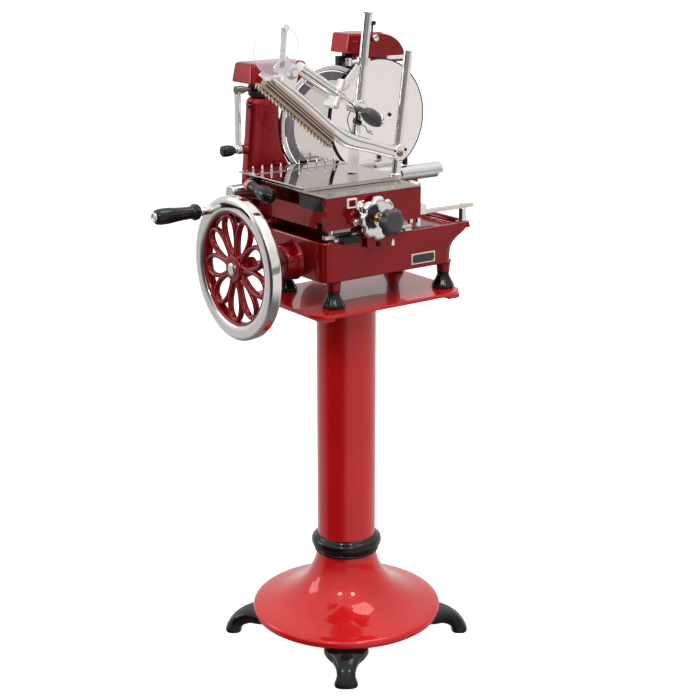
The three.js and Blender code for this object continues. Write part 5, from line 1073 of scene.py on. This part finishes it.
def press():
    low = [on_gripper(along, 16) for along in (198, 132, 60, 8)]
    low += [(-34, 1095), (26, 1078.5), (66, 1066), (92, 1058)]
    high = [on_gripper(188, 37), on_gripper(132, 41), on_gripper(76, 41), on_gripper(26, 40)]
    high += [(-20, 1123), (33, 1104.5), (74, 1091), (98, 1086)]
    lows, highs = smooth_line(low, 7), smooth_line(high, 7)
    middle, half = (lows + highs) / 2, (highs - lows) / 2
    shape = oval(1, 1, 40, 0.8)
    flat = middle[:, None] + shape[None, :, :1] * half[:, None]
    depth = np.broadcast_to(PRESS_MIDDLE + 10.8 * shape[None, :, 1], flat.shape[:2])
    arm = loft(np.stack([flat[..., 0], depth, flat[..., 1]], -1))
    front, back = PRESS_FRONT, PRESS_BACK
    knuckle = [(0, 0), (13, 0), (16, 1.6), (16, 20.4), (14, 22), (0, 22)]
    knuckle = lathe(knuckle, 0.8, at(GUARD_HINGE, front), Y, 64, 3)
    neck_foot = [on_gripper(180, 28), on_gripper(136, 28), (-150, 1252), (-179, 1254)]
    neck_foot = slab(eased(neck_foot, 4, loop=True), front + 1, back, "xz", 2.0, 3)
    clamp = [(0, 0), (15, 0), (17, 1.6), (17, 20.4), (15, 22), (0, 22)]
    clamp = lathe(clamp, 0.8, at(PRESS_HINGE, front), Y, 64, 3)
    tab = [(-237, 1251), (-231, 1256), (-203, 1247), (-199, 1238), (-216, 1236)]
    tab = slab(eased(tab, 3, 3, loop=True), -48, -43, "xz", 0.6)
    piece("press_beam", "press_group", CHROME, [arm, knuckle, neck_foot, clamp, tab], "press_arm")
    thumb = [(0, 0), (4, 0), (4, 6), (6.4, 7), (6.4, 16), (0, 17)]
    thumb = lathe(thumb, 0.8, (-171, PRESS_MIDDLE, 1266), (-0.25, 0, 1), 40, 3)
    piece("press_thumb_screw", "press_group", CHROME, thumb)
    piece("guard_nut", "guard_group", CHROME, nut(at(GUARD_HINGE, -57.8), -Y, 8.4, 5.0))

    web = slab(gripper_band(6, 197, 2.8, 18), PRESS_MIDDLE - 4, PRESS_MIDDLE + 4, "xz", 0.4)
    bars = [slab(gripper_band(4, 203, low, low + 2.6), front + 1, back, "xz", 0.5) for low in (8, 13.4)]
    face = [on_gripper(184, 18), on_gripper(10, 18), on_gripper(16, 30), on_gripper(178, 30)]
    face = slab(face, -52.6, -50, "xz", 0.6)
    piece("press_web", "press_group", DARK_STEEL, web)
    piece("press_face", "press_group", TAN_STEEL, [face, *bars])
    bolt = [(0, 0), (6.2, 0), (6.2, 3), (5, 4.4), (0, 4.6)]
    piece("press_bolt", "press_group", BROWN_BRASS, lathe(bolt, 0.5, (98, -52.8, 1071), -Y, 36, 3))
    small = [screw((112.5, front, 1078), -Y, 3.2), screw((86, front, 1077), -Y, 2.4)]
    piece("press_screws", "press_group", BLACK, small)

    sheet = slab(gripper_band(0, 210, 2.5, -2.5), -52.5, -30, "xz", 0.5)
    rows = []
    for row in range(4):
        y0 = -52.2 + 5.5 * row
        for i in range(21):
            a = 10 * i + (5 * row) % 10 * 0.5
            start, end, tip = on_gripper(a + 0.6, -2), on_gripper(a + 6.4, -2), on_gripper(a + 4.4, -8.4)
            points = [at(start, y0), at(end, y0), at(end, y0 + 5), at(start, y0 + 5), at(tip, y0 + 2.5)]
            faces = [[0, 1, 2, 3], [0, 1, 4], [1, 2, 4], [2, 3, 4], [3, 0, 4]]
            rows.append(cleaned((points, faces)))
    piece("toothed_gripper", "press_group", TOOTH_STEEL, [sheet, *rows], "gripper_plate")


def guard():
    arm = [(-198, 1263), (-186, 1262), (-179, 1334), (-183, 1339), (-190, 1339), (-193, 1334)]
    arm = slab(eased(arm, 2.5, loop=True), *GUARD_LAYER, "xz", 0.6, 3)
    lug = [(-208, 1270), (-209, 1256), (-165, 1242), (-162, 1264), (-184, 1278)]
    lug = slab(eased(lug, 5, loop=True), *GUARD_LAYER, "xz", 0.8, 3)
    boss = [(0, 0), (9, 0), (12, 1.4), (12, 5.2), (0, 5.2)]
    boss = lathe(boss, 0.8, at(GUARD_HINGE, -58.5), Y, steps=3)
    t = np.linspace(0, 2 * np.pi, 28, endpoint=False)
    wire = np.stack([-183 + 5.4 * np.cos(t), np.full_like(t, -58.6), 1336 + 5.4 * np.sin(t)], 1)
    eyelet = swept(wire, oval(1.3, 1.3, 12), Y, loop=True)
    piece("guard_strap", "guard_group", CHROME, [arm, lug, boss, eyelet], "guard_bracket")

    d = (-206, -60.6, 1298)
    disc = lathe([(0, 0.2), (50, 0.2), (50, 2.8), (0, 2.8)], 0.3, d, Y, 120, 2)
    piece("clear_disc", "guard_group", CLEAR, disc, "guard_disc")
    # A real rim round the clear disc, made more opaque than the disc: painted sheen for the edge's
    # reflection.
    rim = [(49.6, 0), (51.2, 0), (52, 0.8), (52, 2.2), (51.2, 3), (49.6, 3)]
    rim = lathe(rim, 0.3, d, Y, 120, 2, loop=True)
    piece("clear_disc_rim", "guard_group", CLEAR_EDGE_SHEEN, rim, "guard_disc")


def strut():
    eye = np.array([30.0, 11.0, 1166.0])
    tip = np.array([-126.0, -16.0, 1256.0])

    def along(share):
        return eye + (tip - eye) * share

    barrel = rod(along(0.36), along(1.0), 12.5, 72, 1.6)
    inner = rod(along(0.04), along(0.4), 6, 48)
    fork = rod(along(0.27), along(0.41), 13.6, 48, 1.2)
    ring = [(4.4, -9), (9.6, -9), (10, -8), (10, 7.6), (9.6, 8.6), (4.4, 8.6)]
    ring = lathe(ring, 0.5, eye, Y, steps=3, loop=True)
    piece("spring_tube", "strut_group", CHROME, [barrel, inner, fork, ring], "spring_strut")
    thin = rod((-112, -10, 1228), (-38, -3, 1184), 2.4, 24)
    piece("strut_guide_rod", "strut_group", CHROME, thin)
    block = rotated(brick(-50, -33, -12, 6, 1171, 1194, 2.0, 3), 26, Y, (-41.5, 0, 1182))
    piece("strut_joint", "strut_group", NYLON, block)
    cross = rod((-7, 5, 1221), (-36, -8, 1171), 9.4, 56, 1.4)
    piece("strut_cross_tube", "strut_group", PALE_STEEL, cross)


def clamps():
    x, y = TALL_ROD
    z, knob_x = CLAMP_HEIGHT, 52
    body = rod(lean(x, y, z - 2), lean(x, y, z + 24), 14, 64, 1.4)
    block = brick(21, 58, 3, 30, 1156, 1170, 2.4, 3)
    pin = rod((30, 1, 1166), (30, 23, 1166), 4)
    boss = lathe([(0, 0), (6, 0), (6, 14), (0, 14)], 0.5, (knob_x, 12, z), Y, 40)
    piece("tall_clamp_body", "table_group", CHROME, [body, block, pin, boss], "tall_clamp")

    t = np.linspace(0, np.pi, 28)
    egg = np.stack([16 * np.sin(t), -28 * np.cos(t)], 1)
    egg[[0, -1], 0] = 0
    knob = rotated(turned(egg, (0, 0, 0), X, 56), 35, Y)
    knob = (knob[0] + [knob_x, -18, 1145], knob[1])
    piece("egg_knob", "clamp_knob_group", SATIN_PLASTIC, knob, "oval_knob")
    hub = [(0, 0), (12, 0), (14.5, 1.5), (14.5, 8), (13, 9.6), (0, 9.6)]
    hub = lathe(hub, 1.0, (66, -16, 1139.5), (0.93, 0.1, -0.35), 64)
    stem = rod((knob_x, -13, z), (knob_x, 11.7, z), 7, 40)
    piece("egg_knob_stem", "clamp_knob_group", CHROME, [stem, hub])
    stem = rod((36, 13, 1157), (36, 11, 1134), 2.6, 24)
    bar = [(0, 0), (5.4, 0), (6, 3), (6, 15), (5.4, 18), (0, 18)]
    bar = lathe(bar, 1.4, (26.8, 9, 1138), (0.9, 0, -0.42), 40)
    piece("tee_knob", "table_group", PLASTIC, [stem, bar])
    lines = [
        [(58, y, 1124), (68, y, 1121), (75, y, 1115), (78, y, 1108), (85, y, 1103.4), (92, y, 1100.6)],
        [(78, y, 1108), (83, y, 1109), (89, y, 1106)],
        [(48, 28, 1157), (36.2, 30, 1155.6), (29, y, 1144), (27.5, y, 1131.7), (35.6, y, 1111.5),
         (44, y, 1106)],
    ]
    wires = [swept(smooth_line(line, 6), oval(1.1, 1.1, 10), Y) for line in lines]
    piece("spring_wire", "table_group", DARK_STEEL, wires)

    piece("link_bars", "link_group", CHROME, of_node("lock_link", 0.4), "lock_link")


stand()
machine_feet()
base_casting()
base_trim()
rails()
flywheel()
drive()
blade()
neck()
hood()
carriage()
carriage_trim()
feed()
table()
rods()
press()
guard()
strut()
clamps()


# Floor, light and camera

def floor():
    """A white paper bowl: a flat round floor whose edge curves up in a quarter circle into a wall."""
    turn = np.radians(np.linspace(0, 90, 19))
    flat, bend, height, sides = 6.0, 2.5, 9.0, 128
    radius = np.concatenate([[0.001], flat + bend * np.sin(turn), [flat + bend]])
    level = np.concatenate([[0.0], bend - bend * np.cos(turn), [height]])
    angle = np.arange(sides) * (2 * np.pi / sides)
    rings = np.stack(np.broadcast_arrays(
        radius[:, None] * np.cos(angle), radius[:, None] * np.sin(angle), level[:, None]), -1)
    faces = grid_faces(len(radius), sides) + [list(range(sides))]
    mesh = bpy.data.meshes.new("floor")
    mesh.from_pydata(rings.reshape(-1, 3).tolist(), [], faces)
    mesh.shade_smooth()
    f = Finish("floor_paper", {"Roughness": 0.9, "Specular IOR Level": 0.1, "Emission Strength": 0.96})
    f.set("Base Color", f.mix(f.noise(3.0, 2.0), (0.5, 0.5, 0.5, 1), (0.54, 0.54, 0.54, 1)))
    f.set("Emission Color", (1.0, 1.0, 1.0, 1))
    f.material.cycles.emission_sampling = "NONE"
    mesh.materials.append(f.material)
    ground = bpy.data.objects.new("floor", mesh)
    bpy.context.scene.collection.objects.link(ground)
    ground.visible_diffuse = False
    ground.visible_glossy = False
    ground.visible_shadow = False


def sky():
    """The studio as a dome of light: white overhead and behind the machine, grey in front of it, and
    dark to its left, so that polished metal shows bright and dark stripes."""
    world = bpy.data.worlds.new("studio")
    bpy.context.scene.world = world
    world.use_nodes = True
    dome = Nodes(world.node_tree)
    direction = dome.add("ShaderNodeTexCoord", {}, {}, "Generated")

    def facing(x, y, z, low, high):
        dot = {0: direction, 1: (x, y, z)}
        dot = dome.add("ShaderNodeVectorMath", {"operation": "DOT_PRODUCT"}, dot, "Value")
        return dome.ramp(dot, low, high)

    colour = dome.mix(facing(0.565, 0.773, 0, -0.1, 0.6), (0.86, 0.83, 0.82, 1), (0.84, 0.84, 0.84, 1))
    low_left = facing(-0.80, 0.60, 0, 0.55, 0.9) * facing(0, 0, -1, -0.02, 0.16)
    colour = dome.mix(low_left * 0.3, colour, (0.08, 0.07, 0.07, 1))
    left = facing(-0.98, -0.17, 0, 0.55, 0.85) * facing(0, 0, -1, -0.45, -0.02)
    colour = dome.mix(left, colour, (0.05, 0.045, 0.045, 1))
    colour = dome.mix(facing(0, 0, -1, 0.36, 0.7), colour, (0.2, 0.18, 0.17, 1))
    streak = facing(0, 0, 1, -0.08, -0.01) * facing(0, 0, -1, -0.15, -0.09) * facing(0, -1, 0, 0.15, 0.45)
    colour = dome.mix(streak, colour, (0.30, 0.28, 0.28, 1))
    colour = dome.mix(facing(0, 0, 1, 0.3, 0.85), colour, (1.2, 1.19, 1.17, 1))
    dome.feed(world.node_tree.nodes["Background"].inputs["Color"], colour)


def panel(name, place, target, width, height, power):
    light = bpy.data.lights.new(name, "AREA")
    light.shape = "RECTANGLE"
    light.size = width
    light.size_y = height
    light.energy = power
    lamp = bpy.data.objects.new(name, light)
    lamp.location = place
    lamp.rotation_euler = (Vector(target) - Vector(place)).to_track_quat("-Z", "Y").to_euler()
    lamp.visible_camera = False
    bpy.context.scene.collection.objects.link(lamp)


def camera():
    """The photograph's view, worked out from its straight edges and circles."""
    place = AXIS + MM * np.array([-1760.0, -2423.0, 1560.0])
    right = Vector((0.8075, -0.5899, 0.0)).normalized()
    forward = Vector((0.5646, 0.7730, -0.2894)).normalized()
    up = right.cross(forward)
    view = bpy.data.cameras.new("photo_view")
    view.lens = 75.8
    view.sensor_width = 36.0
    view.clip_end = 60.0
    eye = bpy.data.objects.new("photo_view", view)
    turn = Matrix((right, up, -forward)).transposed().to_4x4()
    eye.matrix_world = Matrix.Translation(Vector(place)) @ turn
    bpy.context.scene.collection.objects.link(eye)
    bpy.context.scene.camera = eye


floor()
sky()
panel("back_left_box", (-2.6, 2.6, 1.95), (0, 0, 1.15), 1.5, 1.5, 26)
panel("top_box", (0.8, -0.6, 3.6), (0, 0, 0.8), 1.2, 1.2, 20)
panel("left_lamp", (-1.7, -1.15, 2.5), (0, 0, 0.4), 0.34, 0.34, 9)
panel("right_lamp", (-0.55, -1.95, 2.5), (0, 0, 0.4), 0.34, 0.34, 9)
bpy.context.scene.view_settings.view_transform = "Standard"
camera()
